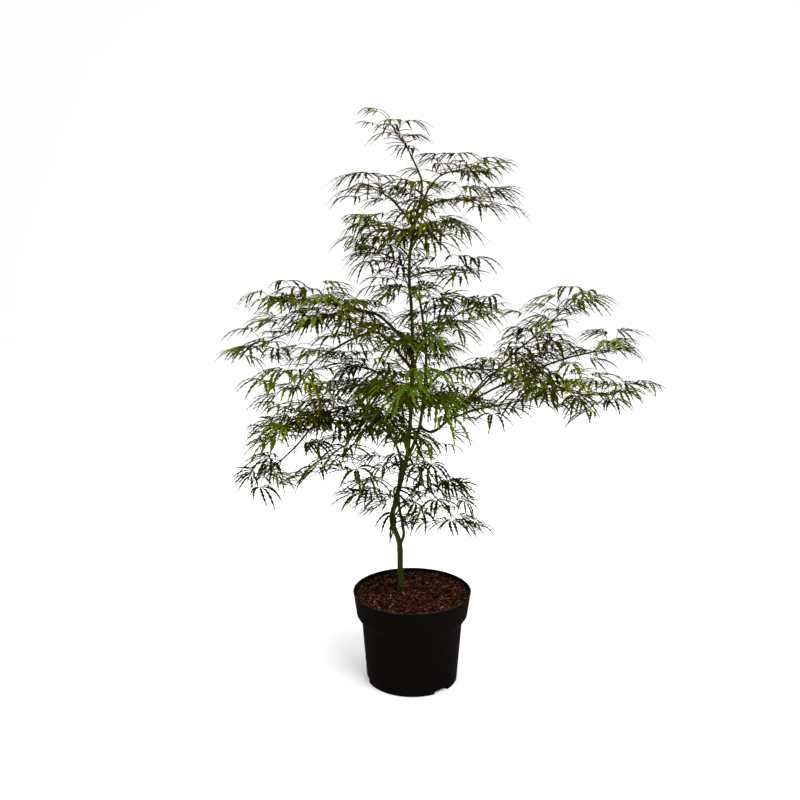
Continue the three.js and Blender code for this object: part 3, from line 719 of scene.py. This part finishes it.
# Short shoots with leaves that stand in pairs along the limbs themselves.
sprigs = {
    "pathSteps": 12,
    "ahead": 2.0,
    "gap": 27.0,
    "gapSpread": (0.8, 1.2),
    "firstGap": (0.5, 1),  # on the trunk and the stems
    "bareFoot": 16.0,  # of a bough
    "trunkHeights": ((298.0, 362.0), (440.0, 640.0)),  # where the trunk and the stems bear some
    "sparse": {"stem_right": 0.25, "bough_right_low": 0.6, "bough_back_right": 0.3, "bough_front": 0.4,
               "bough_back": 0.5, "bough_upper_right": 0.4, "bough_upper_right_low": 0.5,
               "bough_upper_left": 0.5, "bough_right_mid": 0.4, "bough_left_arch": 0.6},  # share kept
    "length": (16.0, 52.0),
    "slant": 0.7,
    "trunkSlant": 0.3,
    "rise": (-0.15, 0.45),
    "leafLength": 54.0,
    "leafShare": 0.28,
    "young": 0.2,
    "seed": 31,
}


def stream(seed, count):
    # The same even random numbers as the solids' rule draws.
    state = seed * streamRule["spread"]
    numbers = []
    for _ in range(count):
        state = state * streamRule["factor"] % streamRule["modulus"]
        numbers.append(state / streamRule["modulus"])
    return np.array(numbers)


def pathSamples(path, radii):
    points = [path[-1]]
    sizes = [radii[-1]]
    for step in range(len(path) - 1):
        count = math.ceil(np.linalg.norm(path[step + 1] - path[step]) / twig["sampleGap"])
        for part in range(count):
            share = part / count
            points.append(path[step] + (path[step + 1] - path[step]) * share)
            sizes.append(radii[step] + (radii[step + 1] - radii[step]) * share)
    return np.array(points), np.array(sizes)


def limbBalls():
    balls = [pathSamples(limb["path"], limb["radii"]) for limb in limbs.values()]
    return tuple(np.concatenate(part) for part in zip(*balls))


def rootOf(mass):
    path = limbs[mass["limb"]]["path"]
    if mass["height"] is None:
        along = unit(path[-1] - path[-2])
        return path[-1] + along * seat, along
    step = int(np.argmax(path[:, 2] > mass["height"]))
    share = (mass["height"] - path[step - 1, 2]) / (path[step, 2] - path[step - 1, 2])
    point = path[step - 1] + (path[step] - path[step - 1]) * share
    along = unit(mass["middle"] - point)
    return point, unit(along + upward * growth["stemRise"])


def wayTo(yaw, rise):
    return np.array([math.cos(yaw) * math.cos(rise), math.sin(yaw) * math.cos(rise), math.sin(rise)])


def bentPath(start, bend, end, steps):
    shares = np.linspace(0, 1, steps + 1)[:, None]
    return start * (1 - shares) ** 2 + bend * 2 * shares * (1 - shares) + end * shares ** 2


def stemOf(mass, steps):
    root, along = rootOf(mass)
    away = mass["middle"] - root
    reach = np.linalg.norm(away / mass["half"])
    end = mass["middle"] + away * growth["pastMiddle"] / max(reach, growth["leastReach"])
    bend = root + along * np.linalg.norm(away) * growth["stemBow"]
    return bentPath(root, bend, end, steps)


def weigh(middles, reaches, points):
    away = (points[:, None] - middles) * (1, 1, flatness)
    return (away ** 2).sum(-1) - reaches ** 2


def inHalfSizes(mass, points, grown=1.0):
    return (((points - mass["middle"]) / (mass["half"] * grown)) ** 4).sum(-1) <= 1


def inSpace(mass, points):
    own = weigh(mass["middle"][None], mass["reach"], points)
    others = weigh(mass["otherMiddles"], mass["otherReaches"], points)
    beyond = others - own > mass["steepness"] * seat * 2
    return inHalfSizes(mass, points) & beyond.all(axis=1)


def clearOf(obstacles, points, margins):
    centres, radii = obstacles
    low, high = points.min(axis=0) - clearanceReach, points.max(axis=0) + clearanceReach
    near = ((centres > low) & (centres < high)).all(axis=1)
    gaps = ((points[:, None] - centres[None, near]) ** 2).sum(-1)
    return bool((gaps > (radii[None, near] + margins[:, None]) ** 2).all())


def frameLeaf(hub, yaw, droop, roll, size):
    forward = wayTo(yaw, -droop)
    level = unit(np.cross(upward, forward))
    top = np.cross(forward, level)
    top = top * math.cos(roll) + np.cross(forward, top) * math.sin(roll)
    return {"hub": hub, "forward": forward, "top": top, "side": np.cross(top, forward), "size": size}


def leafPoint(leaf, degrees, share):
    turn = math.radians(degrees)
    length = leaf["size"] * share
    return (leaf["hub"] + leaf["forward"] * math.cos(turn) * length
            + leaf["side"] * math.sin(turn) * length - upward * leafRule["sag"] * length)


clearanceReach = 15.0  # more than any two balls' radii together
nearReach = 25.0  # how far past a mass's half-sizes other limbs and stems are looked at
sampleShares = np.array([0, 0.15, 0.3, 0.45, 0.6, 0.7, 0.8, 0.9, 1])
twigShares = np.array([0.05, 0.15, 0.25, 0.35, 0.45, 0.55, 0.65, 0.75, 0.85, 1])[:, None]
stalkShares = np.array([0.3, 0.5, 0.7, 0.9])[:, None]


def lobeTips(leaf):
    return np.array([leafPoint(leaf, turn, length)
                     for turn, length in zip(leafRule["turns"], leafRule["lengths"])])


def notchPoints(leaf):
    turns = leafRule["turns"]
    points = []
    for turn, nextTurn in zip(turns, (*turns[1:], 360)):
        middle = (turn + nextTurn) / 2
        reach = leafRule["backReach"] if middle == 180 else leafRule["notchReach"]
        points.append(leafPoint(leaf, middle, reach))
    return np.array(points)


def leafSamples(leaf):
    tips = lobeTips(leaf)
    lobes = (leaf["hub"] + (tips - leaf["hub"]) * sampleShares[:, None, None]).reshape(-1, 3)
    widths = leafRule["halfWidth"] * (1 - sampleShares) + leafRule["tipHalfWidth"]
    sizes = np.repeat(widths, len(tips))
    return np.concatenate([lobes, notchPoints(leaf)]), np.concatenate([sizes, np.ones(len(tips))])


def twigFits(obstacles, start, end):
    points = start + (end - start) * twigShares
    return clearOf(obstacles, points, np.full(len(points), twig["sideRadius"] + seat))


def pointOnPath(path, share):
    place = share * (len(path) - 1)
    step = min(int(place), len(path) - 2)
    return path[step] + (path[step + 1] - path[step]) * (place - step)


def sidePair(mass, path, share, reach, obstacles, rises=(0, 0)):
    node = pointOnPath(path, share)
    along = unit(path[-1] - node)
    level = unit(np.cross(upward, along))
    pair = []
    for side, rise in zip((1, -1), rises):
        way = unit(along * growth["sideSlant"] + level * side + upward * rise)
        end = node + way * reach / np.linalg.norm(way / mass["half"])
        if twigFits(obstacles, node, end):
            pair.append(np.array([node, end]))
    return pair


def twigBases(mass, paths):
    points = np.concatenate([pathSamples(path, np.ones(len(path)))[0] for path in paths])
    away = np.linalg.norm(points - mass["stem"][0], axis=1)
    return points[inSpace(mass, points) & (away > growth["bareStem"])]


def bladeMiddle(leaf):
    return leafPoint(leaf, 0, leafRule["middle"])


def roomFor(mass, leaf, leaves):
    gaps = [np.linalg.norm((bladeMiddle(other) - bladeMiddle(leaf)) / mass["half"]) for other in leaves]
    return min([growth["enough"], *gaps])


def joined(first, second):
    return tuple(np.concatenate(pair) for pair in zip(first, second))


def drawnLeaf(mass, hub, base, draw):
    yaw = math.atan2(hub[1] - base[1], hub[0] - base[0]) + (draw[3] - 0.5) * growth["turn"]
    droop = growth["droop"][0] + (growth["droop"][1] - growth["droop"][0]) * draw[4]
    size = mass["leafLength"] * (growth["size"][0] + (growth["size"][1] - growth["size"][0]) * draw[6])
    leaf = frameLeaf(hub, yaw, droop, (draw[5] - 0.5) * growth["roll"], size)
    leaf["base"] = base
    return leaf


def leafFits(mass, leaf, twigs):
    points, sizes = leafSamples(leaf)
    return (inSpace(mass, lobeTips(leaf)).all() and twigFits(mass["taken"], leaf["base"], leaf["hub"])
            and clearOf(mass["taken"], points, sizes + seat) and clearOf(twigs, points, sizes + seat))


def mainLeaves(mass):
    # Each new leaf is the one of several that fit which lies furthest from the leaves before it.
    draws = stream(mass["seed"], growth["tries"] * growth["drawsPerTry"])
    draws = draws.reshape(-1, growth["drawsPerTry"])
    low = np.array([-1, -1, growth["lowest"]])
    hubs = (low + (1 - low) * draws[:, :3]) * growth["spread"] * mass["half"] + mass["middle"]
    possible = inSpace(mass, hubs)
    bases = twigBases(mass, [mass["stem"], *mass["sides"]])
    twigs = (bases, np.full(len(bases), twig["stemTip"]))
    free = np.ones(len(bases), bool)
    leaves = []
    choices = []
    for tried, (hub, draw) in enumerate(zip(hubs, draws), 1):
        if possible[tried - 1]:
            gaps = np.where(free, np.linalg.norm(bases - hub, axis=1), np.inf)
            nearest = int(np.argmin(gaps))
            if gaps[nearest] < leafRule["longestStalk"]:
                leaf = drawnLeaf(mass, hub, bases[nearest], draw)
                if leafFits(mass, leaf, twigs):
                    choices.append((roomFor(mass, leaf, leaves), nearest, leaf))
        if len(choices) == growth["choices"] or (choices and tried == growth["tries"]):
            _, nearest, leaf = max(choices, key=lambda choice: choice[0])
            free[nearest] = False
            leaves.append(leaf)
            mass["taken"] = joined(mass["taken"], leafSamples(leaf))
            stalk = leaf["base"] + (leaf["hub"] - leaf["base"]) * stalkShares
            mass["taken"] = joined(mass["taken"], (stalk, np.full(len(stalk), leafRule["stalkRadius"])))
            choices = []
        if len(leaves) == mass["leafCount"]:
            break
    return leaves


def levelled(leaf):
    # The main leaves as they are shown: drawn in towards the level of their twig.
    hub = leaf["base"] + (leaf["hub"] - leaf["base"]) * finer["drawIn"]
    yaw = math.atan2(leaf["forward"][1], leaf["forward"][0])
    droop = -math.asin(leaf["forward"][2]) * finer["level"]
    size = leaf["size"] * finer["size"][1]
    return {**frameLeaf(hub, yaw, droop, 0, size), "base": leaf["base"]}


def nodesAlong(path):
    # Places along a twig where a pair of leaves may stand, and the way the twig goes there.
    count = max(1, round(pathLengths(path)[-1] / finer["nodeGap"]))
    nodes = []
    for index in range(count):
        node = pointOnPath(path, (index + 1) / count)
        nodes.append((node, unit(node - pointOnPath(path, (index + 0.5) / count))))
    return nodes


def stalkedLeaf(node, heading, side, leafLength, draw):
    yaw = heading + side * math.radians(draw.uniform(*finer["stalkTurn"]))
    rise = math.radians(draw.uniform(*finer["stalkRise"]))
    length = draw.uniform(*finer["stalk"])
    droop = draw.uniform(*finer["droop"])
    roll = draw.uniform(-1, 1) * finer["roll"]
    size = leafLength * draw.uniform(*finer["size"])
    turn = draw.uniform(-1, 1) * finer["turn"]
    return {**frameLeaf(node + wayTo(yaw, rise) * length, yaw + turn, droop, roll, size), "base": node}


def pairedLeaves(paths, leafLength, draw):
    # An opposite pair at every node of every twig; the stalks are nearly level.
    leaves = []
    for path in paths:
        for node, along in nodesAlong(path):
            heading = math.atan2(along[1], along[0])
            leaves += [stalkedLeaf(node, heading, side, leafLength, draw) for side in (1, -1)]
    return leaves


def farOut(mass, leaf):
    return finer["outward"] * np.linalg.norm((leaf["hub"] - mass["stem"][0]) / mass["half"])


def clearOfLimbs(balls, leaf):
    points, _ = leafSamples(leaf)
    return clearOf(balls, points, np.full(len(points), finer["limbMargin"]))


def addFinerTwigs(mass, draw):
    # More pairs of side twigs, a leader past the stem's tip, and branches half way along all of these.
    def addPair(twigs, path, share, reach):
        rises = [draw.uniform(-1, 1) * finer["twigRise"] for _ in range(2)]
        twigs += sidePair(mass, path, share, reach, mass["limbs"], rises)

    for share in finer["shares"]:
        addPair(mass["sides"], mass["stem"], share, finer["reach"])
    tip = mass["stem"][-1]
    way = unit(tip - mass["stem"][-2])
    leader = way * finer["leader"] / np.linalg.norm(way / mass["half"])
    mass["sides"].append(np.array([tip, tip + leader]))
    for path in mass["sides"]:
        addPair(mass["branches"], path, finer["branchShare"], finer["branchReach"])


def finerLeaves(mass):
    draw = random.Random(mass["seed"])
    addFinerTwigs(mass, draw)
    twigs = [mass["stem"], *mass["sides"], *mass["branches"]] * finer["rounds"]
    choices = [leaf for leaf in pairedLeaves(twigs, mass["leafLength"], draw)
               if inHalfSizes(mass, leaf["hub"][None], finer["hubRoom"]).all()
               and inHalfSizes(mass, lobeTips(leaf), finer["tipRoom"]).all()
               and clearOfLimbs(mass["limbs"], leaf)]
    draw.shuffle(choices)
    leaves = list(mass["leaves"])
    count = len(leaves) + round(mass["leafCount"] * mass["finer"] * finer["amount"])
    while choices and len(leaves) < count:
        worth = [roomFor(mass, leaf, leaves) + farOut(mass, leaf) for leaf in choices[:finer["choices"]]]
        leaves.append(choices.pop(worth.index(max(worth))))
    return leaves[len(mass["leaves"]):]


def plantMasses():
    masses = [dict(zip(massKeys, plan)) for plan in massPlans]
    for index, mass in enumerate(masses):
        mass["name"] = "foliage_" + mass["name"]
        mass["seed"] = firstSeed + index
        mass["middle"] = np.array(mass["middle"], float)
        mass["half"] = np.array(mass["half"], float)
        mass["reach"] = (mass["half"].prod() * flatness) ** (1 / 3)
        mass["stem"] = stemOf(mass, twig["stemSteps"])
    stemRadii = np.linspace(twig["stemRadius"], twig["stemTip"], twig["stemSteps"] + 1)
    stems = {mass["name"]: pathSamples(mass["stem"], stemRadii) for mass in masses}
    bareLimbs = limbBalls()
    for mass in masses:
        others = [other for other in masses if other is not mass]
        mass["otherMiddles"] = np.array([other["middle"] for other in others])
        mass["otherReaches"] = np.array([other["reach"] for other in others])
        mass["steepness"] = 2 * np.linalg.norm(
            (mass["otherMiddles"] - mass["middle"]) * (1, 1, flatness ** 2), axis=1)
        centres, radii = bareLimbs
        for other in others:
            centres, radii = joined((centres, radii), stems[other["name"]])
        near = (np.abs(centres - mass["middle"]) < mass["half"] + nearReach).all(axis=1)
        mass["limbs"] = mass["taken"] = centres[near], radii[near]
        mass["sides"] = sidePair(mass, mass["stem"], growth["sideShare"], growth["sideReach"], mass["limbs"])
        mass["branches"] = []
        mass["main"] = mainLeaves(mass)
        mass["leaves"] = [levelled(leaf) for leaf in mass["main"]]
        mass["leaves"] += finerLeaves(mass)
    return masses


def sprigPair(node, along, upright, draw):
    turn = draw.uniform(0, math.tau)
    level = wayTo(turn, 0) if upright else unit(np.cross(upward, along))
    slant = sprigs["trunkSlant"] if upright else sprigs["slant"]
    pair = []
    for side in (1, -1):
        way = unit(along * slant + level * side + upward * draw.uniform(*sprigs["rise"]))
        pair.append(np.array([node, node + way * draw.uniform(*sprigs["length"])]))
    return pair


def limbSprigs(draw):
    paths = []
    for name, limb in limbs.items():
        upright = name in trunkNames
        bends = limb["bends"]
        path = smoothPath(bends, sprigs["pathSteps"] * len(bends))
        lengths = pathLengths(path)
        place = sprigs["gap"] * draw.uniform(*sprigs["firstGap"]) if upright else sprigs["bareFoot"]
        while place < lengths[-1]:
            node, after = [np.array([np.interp(at, lengths, axis) for axis in path.T])
                           for at in (place, place + sprigs["ahead"])]
            place += sprigs["gap"] * draw.uniform(*sprigs["gapSpread"])
            if upright and not any(low < node[2] < high for low, high in sprigs["trunkHeights"]):
                continue
            if draw.random() <= sprigs["sparse"].get(name, 1):
                paths += sprigPair(node, unit(after - node), upright, draw)
    return paths


def plantSprigs():
    draw = random.Random(sprigs["seed"])
    paths = limbSprigs(draw)
    bareLimbs = limbBalls()
    leaves = [leaf for leaf in pairedLeaves(paths, sprigs["leafLength"], draw)
              if draw.random() < sprigs["leafShare"] and clearOfLimbs(bareLimbs, leaf)]
    return {"name": "sprigs", "young": sprigs["young"], "sides": [], "branches": paths, "main": [],
            "leaves": leaves}


masses = [*plantMasses(), plantSprigs()]
print("leaves", *[sum(len(mass[kind]) for mass in masses) for kind in ("main", "leaves")])


def fingerWidth(share):
    width = blade["toothWidth"]
    for (reach, power, least), gone in ((blade["hubTaper"], share), (blade["tipTaper"], 1 - share)):
        width *= min(1, (gone / reach) ** power + least)
    return width


def fingerShape(turn, length, curl, sag):
    # Points hold the way forward, the way sideways, the lift and the sag, in leaf lengths, and
    # how thin the blade is there.
    cuts = blade["cuts"]
    count = len(cuts)
    rows = [(share, 0, 0) for share in cuts]
    for side in (1, -1):
        for index, share in enumerate(cuts):
            rows.append((share, side * blade["notchShare"] * fingerWidth(share), 1))
            if index < count - 1:
                middle = (share + cuts[index + 1]) / 2
                rows.append((middle + blade["toothLead"] * (1 - middle), side * fingerWidth(middle), 1))
    points = []
    for share, across, edge in rows:
        angle = math.radians(turn) * (1 - blade["comb"] * share) + curl * share
        along = length * share
        points.append((
            math.cos(angle) * along - math.sin(angle) * across,
            math.sin(angle) * along + math.cos(angle) * across,
            edge * abs(across) * blade["fold"] + blade["arch"] * math.sin(math.pi * share) * length,
            sag * length * share ** blade["sagPower"],
            share ** 2,
        ))
    faces = []
    for side, start in ((1, count), (-1, 3 * count - 1)):
        for index in range(count - 1):
            notch = start + 2 * index
            face = (index, notch, notch + 1, notch + 2, index + 1)
            faces.append(face[::-1] if side == 1 else face)
    return points, faces


def leafVariants():
    draw = random.Random(blade["seed"])
    variants = []
    for _ in range(blade["variants"]):
        points = []
        faces = []
        for turn, length in zip(blade["turns"], blade["lengths"]):
            turn += draw.uniform(-1, 1) * blade["turnSpread"]
            length *= draw.uniform(*blade["lengthSpread"])
            curl = draw.uniform(-1, 1) * blade["curl"]
            finger, corners = fingerShape(turn, length, curl, draw.uniform(*blade["sag"]))
            faces += [tuple(len(points) + corner for corner in face) for face in corners]
            points += finger
        variants.append((np.array(points), faces))
    return variants


def leafMaterial(name, dark, light):
    shader = Shader(name)
    sprays = shader.speckle(16, 2).clipped(0.3, 0.7)
    mottle = shader.speckle(150, 2)
    colour = shader.mix(sprays * 0.7 + mottle * 0.3, dark, light)
    thin = shader.node("Attribute", {"attribute_name": "thinness"}, output="Fac")
    tip = np.array(light) * blade["tipGain"] + blade["tipRise"]
    return shader.finish(shader.mix(thin * blade["tipShare"], colour, tip), 0.6, specular=0)


def pickTint(mass, leaf, pick):
    # Young leaves are brighter, those towards the top more bronze, and those in front a clean green. The
    # rest take the darkest tint, painted shade that also stands for older leaves.
    if mass["name"] in blade["fresh"]:
        # the front leaves that aren't a clean green get the darkest tint, painted shade
        return "leavesFresh" if pick < blade["freshShare"] else "leavesDeep"
    height = (leaf["hub"][2] - blade["bronzeFrom"]) / (blade["bronzeFull"] - blade["bronzeFrom"])
    bronze = blade["bronzeShare"] * min(max(height, blade["bronzeLeast"]), 1)
    shares = (("leavesYoung", mass["young"]), ("leavesBronze", bronze), ("leavesMid", blade["midShare"]))
    for tint, share in shares:
        if pick < share:
            return tint
        pick -= share
    # painted shade: the darkest tint, most common in the lower and inner masses
    return "leavesDeep"


foliage = [mass["name"] for mass in masses if mass["main"]]


def makeLeaves():
    variants = leafVariants()
    draw = random.Random(blade["seed"] + 1)
    bundles = {name: Bundle() for name in blade["tints"]}
    for mass in masses:
        for leaf in mass["leaves"]:
            points, faces = draw.choice(variants)
            forward, side, lift, sag, thin = points.T[:, :, None]
            placed = leaf["hub"] + leaf["size"] * (
                forward * leaf["forward"] + side * leaf["side"] + lift * leaf["top"] - sag * upward)
            bundles[pickTint(mass, leaf, draw.random())].add(placed, faces, thin[:, 0])
    for name, (dark, light) in blade["tints"].items():
        addPiece(name, bundles[name].mesh(name), leafMaterial(name, dark, light), foliage)


# Twigs and leaf stalks are thin tubes: base and tip radius, sides and steps of each kind.
shoots = {
    "stem": (1.35, 0.8, 6, 14),
    "side": (0.8, 0.5, 5, 7),
    "branch": (0.6, 0.42, 4, 5),
    "stalk": (0.48, 0.36, 4, 5),
    "sideSag": 0.06,
    "stalkBow": 0.16,
    "twigColour": ((0.05, 0.025, 0.006), (0.035, 0.026, 0.005)),
    "stalkColour": ((0.15, 0.07, 0.012), (0.1, 0.07, 0.008)),
}


def addTube(bundle, path, base, tip, sides):
    rings = len(path)
    angles = np.linspace(0, math.tau, sides, endpoint=False)[:, None]
    points = []
    for (_, across, side), centre, radius in zip(carryAcross(path), path, np.linspace(base, tip, rings)):
        points.append(centre + radius * (across * np.cos(angles) + side * np.sin(angles)))
    faces = [tuple(range(sides))[::-1], tuple((rings - 1) * sides + corner for corner in range(sides))]
    for ring in range(rings - 1):
        for corner in range(sides):
            near = ring * sides + corner
            beside = ring * sides + (corner + 1) % sides
            faces.append((near, beside, beside + sides, near + sides))
    bundle.add(np.concatenate(points), faces)


def bowed(start, end, bow, steps):
    middle = (start + end) / 2 + upward * bow * np.linalg.norm(end - start) * 2
    return bentPath(start, middle, end, steps)


def twigMaterial(name, colours):
    shader = Shader(name)
    patches = shader.speckle(40).clipped(0.4, 0.6)
    return shader.finish(shader.mix(patches, *colours), 0.6, specular=0)


def makeTwigs():
    twigs = Bundle()
    stalks = Bundle()
    for mass in masses:
        if mass["main"]:
            base, tip, sides, steps = shoots["stem"]
            addTube(twigs, stemOf(mass, steps), base, tip, sides)
        for kind, paths in (("side", mass["sides"]), ("branch", mass["branches"])):
            base, tip, sides, steps = shoots[kind]
            for start, end in paths:
                addTube(twigs, bowed(start, end, shoots["sideSag"], steps), base, tip, sides)
        base, tip, sides, steps = shoots["stalk"]
        for leaf in mass["leaves"]:
            addTube(stalks, bowed(leaf["base"], leaf["hub"], shoots["stalkBow"], steps), base, tip, sides)
    twigBark = twigMaterial("twigs", shoots["twigColour"])
    stalkSkin = twigMaterial("leafStalks", shoots["stalkColour"])
    addPiece("twigs", twigs.mesh("twigs"), twigBark, foliage)
    addPiece("leafStalks", stalks.mesh("leafStalks"), stalkSkin, foliage)


makeLeaves()
makeTwigs()


# Stage: a pale seamless sweep, soft light all round and a large soft lamp above.
stage = {
    "halfWidth": 4.0,
    "front": -4.0,
    "back": 3.0,
    "bend": 1.2,
    "bendSteps": 16,
    "rise": 4.0,
    "floorColour": (0.9, 0.9, 0.9),
    "worldStrength": 0.92,
    "lamps": {
        "keyLamp": ((0.9, -1.3, 2.3), 1.6, 62),
        "topLamp": ((-0.5, 0.5, 2.6), 1.8, 38),
    },
    "lampAim": (0, 0, 0.45),
}

camera = {
    "place": (-0.0195, -1.657, 0.853),
    "pitch": 13.22,
    "sensorWidth": 36,
    "focalPixels": 1103,
    "widthPixels": 800,
}


def makeStage():
    bm = bmesh.new()
    width, bend, back = stage["halfWidth"], stage["bend"], stage["back"]
    outline = [(stage["front"], 0)]
    for step in range(stage["bendSteps"] + 1):
        angle = math.pi / 2 * step / stage["bendSteps"]
        outline.append((back + bend * math.sin(angle), bend * (1 - math.cos(angle))))
    outline.append((back + bend, stage["rise"]))
    verts = [bm.verts.new((-width, y, z)) for y, z in outline]
    edges = [bm.edges.new(pair) for pair in zip(verts, verts[1:])]
    grown = bmesh.ops.extrude_edge_only(bm, edges=edges)["geom"]
    bmesh.ops.translate(bm, verts=[item for item in grown if isinstance(item, bmesh.types.BMVert)],
                        vec=(2 * width, 0, 0))
    mesh = bpy.data.meshes.new("floorSweep")
    bm.to_mesh(mesh)
    bm.free()
    mesh.shade_smooth()
    mesh.materials.append(Shader("floorPaper").finish(stage["floorColour"], 0.9, specular=0.1))
    floor = bpy.data.objects.new("floorSweep", mesh)
    bpy.context.scene.collection.objects.link(floor)


def makeLights():
    world = bpy.data.worlds.new("studio")
    world.use_nodes = True
    background = world.node_tree.nodes["Background"]
    background.inputs["Color"].default_value = (1, 1, 1, 1)
    background.inputs["Strength"].default_value = stage["worldStrength"]
    bpy.context.scene.world = world
    for name, (place, size, power) in stage["lamps"].items():
        lamp = bpy.data.lights.new(name, "AREA")
        lamp.size = size
        lamp.energy = power
        holder = bpy.data.objects.new(name, lamp)
        holder.location = place
        aim = Vector(stage["lampAim"]) - Vector(place)
        holder.rotation_euler = aim.to_track_quat("-Z", "Y").to_euler()
        bpy.context.scene.collection.objects.link(holder)


def makeCamera():
    lens = bpy.data.cameras.new("camera")
    lens.lens = camera["focalPixels"] / camera["widthPixels"] * camera["sensorWidth"]
    lens.sensor_width = camera["sensorWidth"]
    holder = bpy.data.objects.new("camera", lens)
    holder.location = camera["place"]
    holder.rotation_euler = (math.radians(90 - camera["pitch"]), 0, 0)
    bpy.context.scene.collection.objects.link(holder)
    bpy.context.scene.camera = holder


makeStage()
makeLights()
makeCamera()
bpy.context.scene.view_settings.view_transform = "Standard"
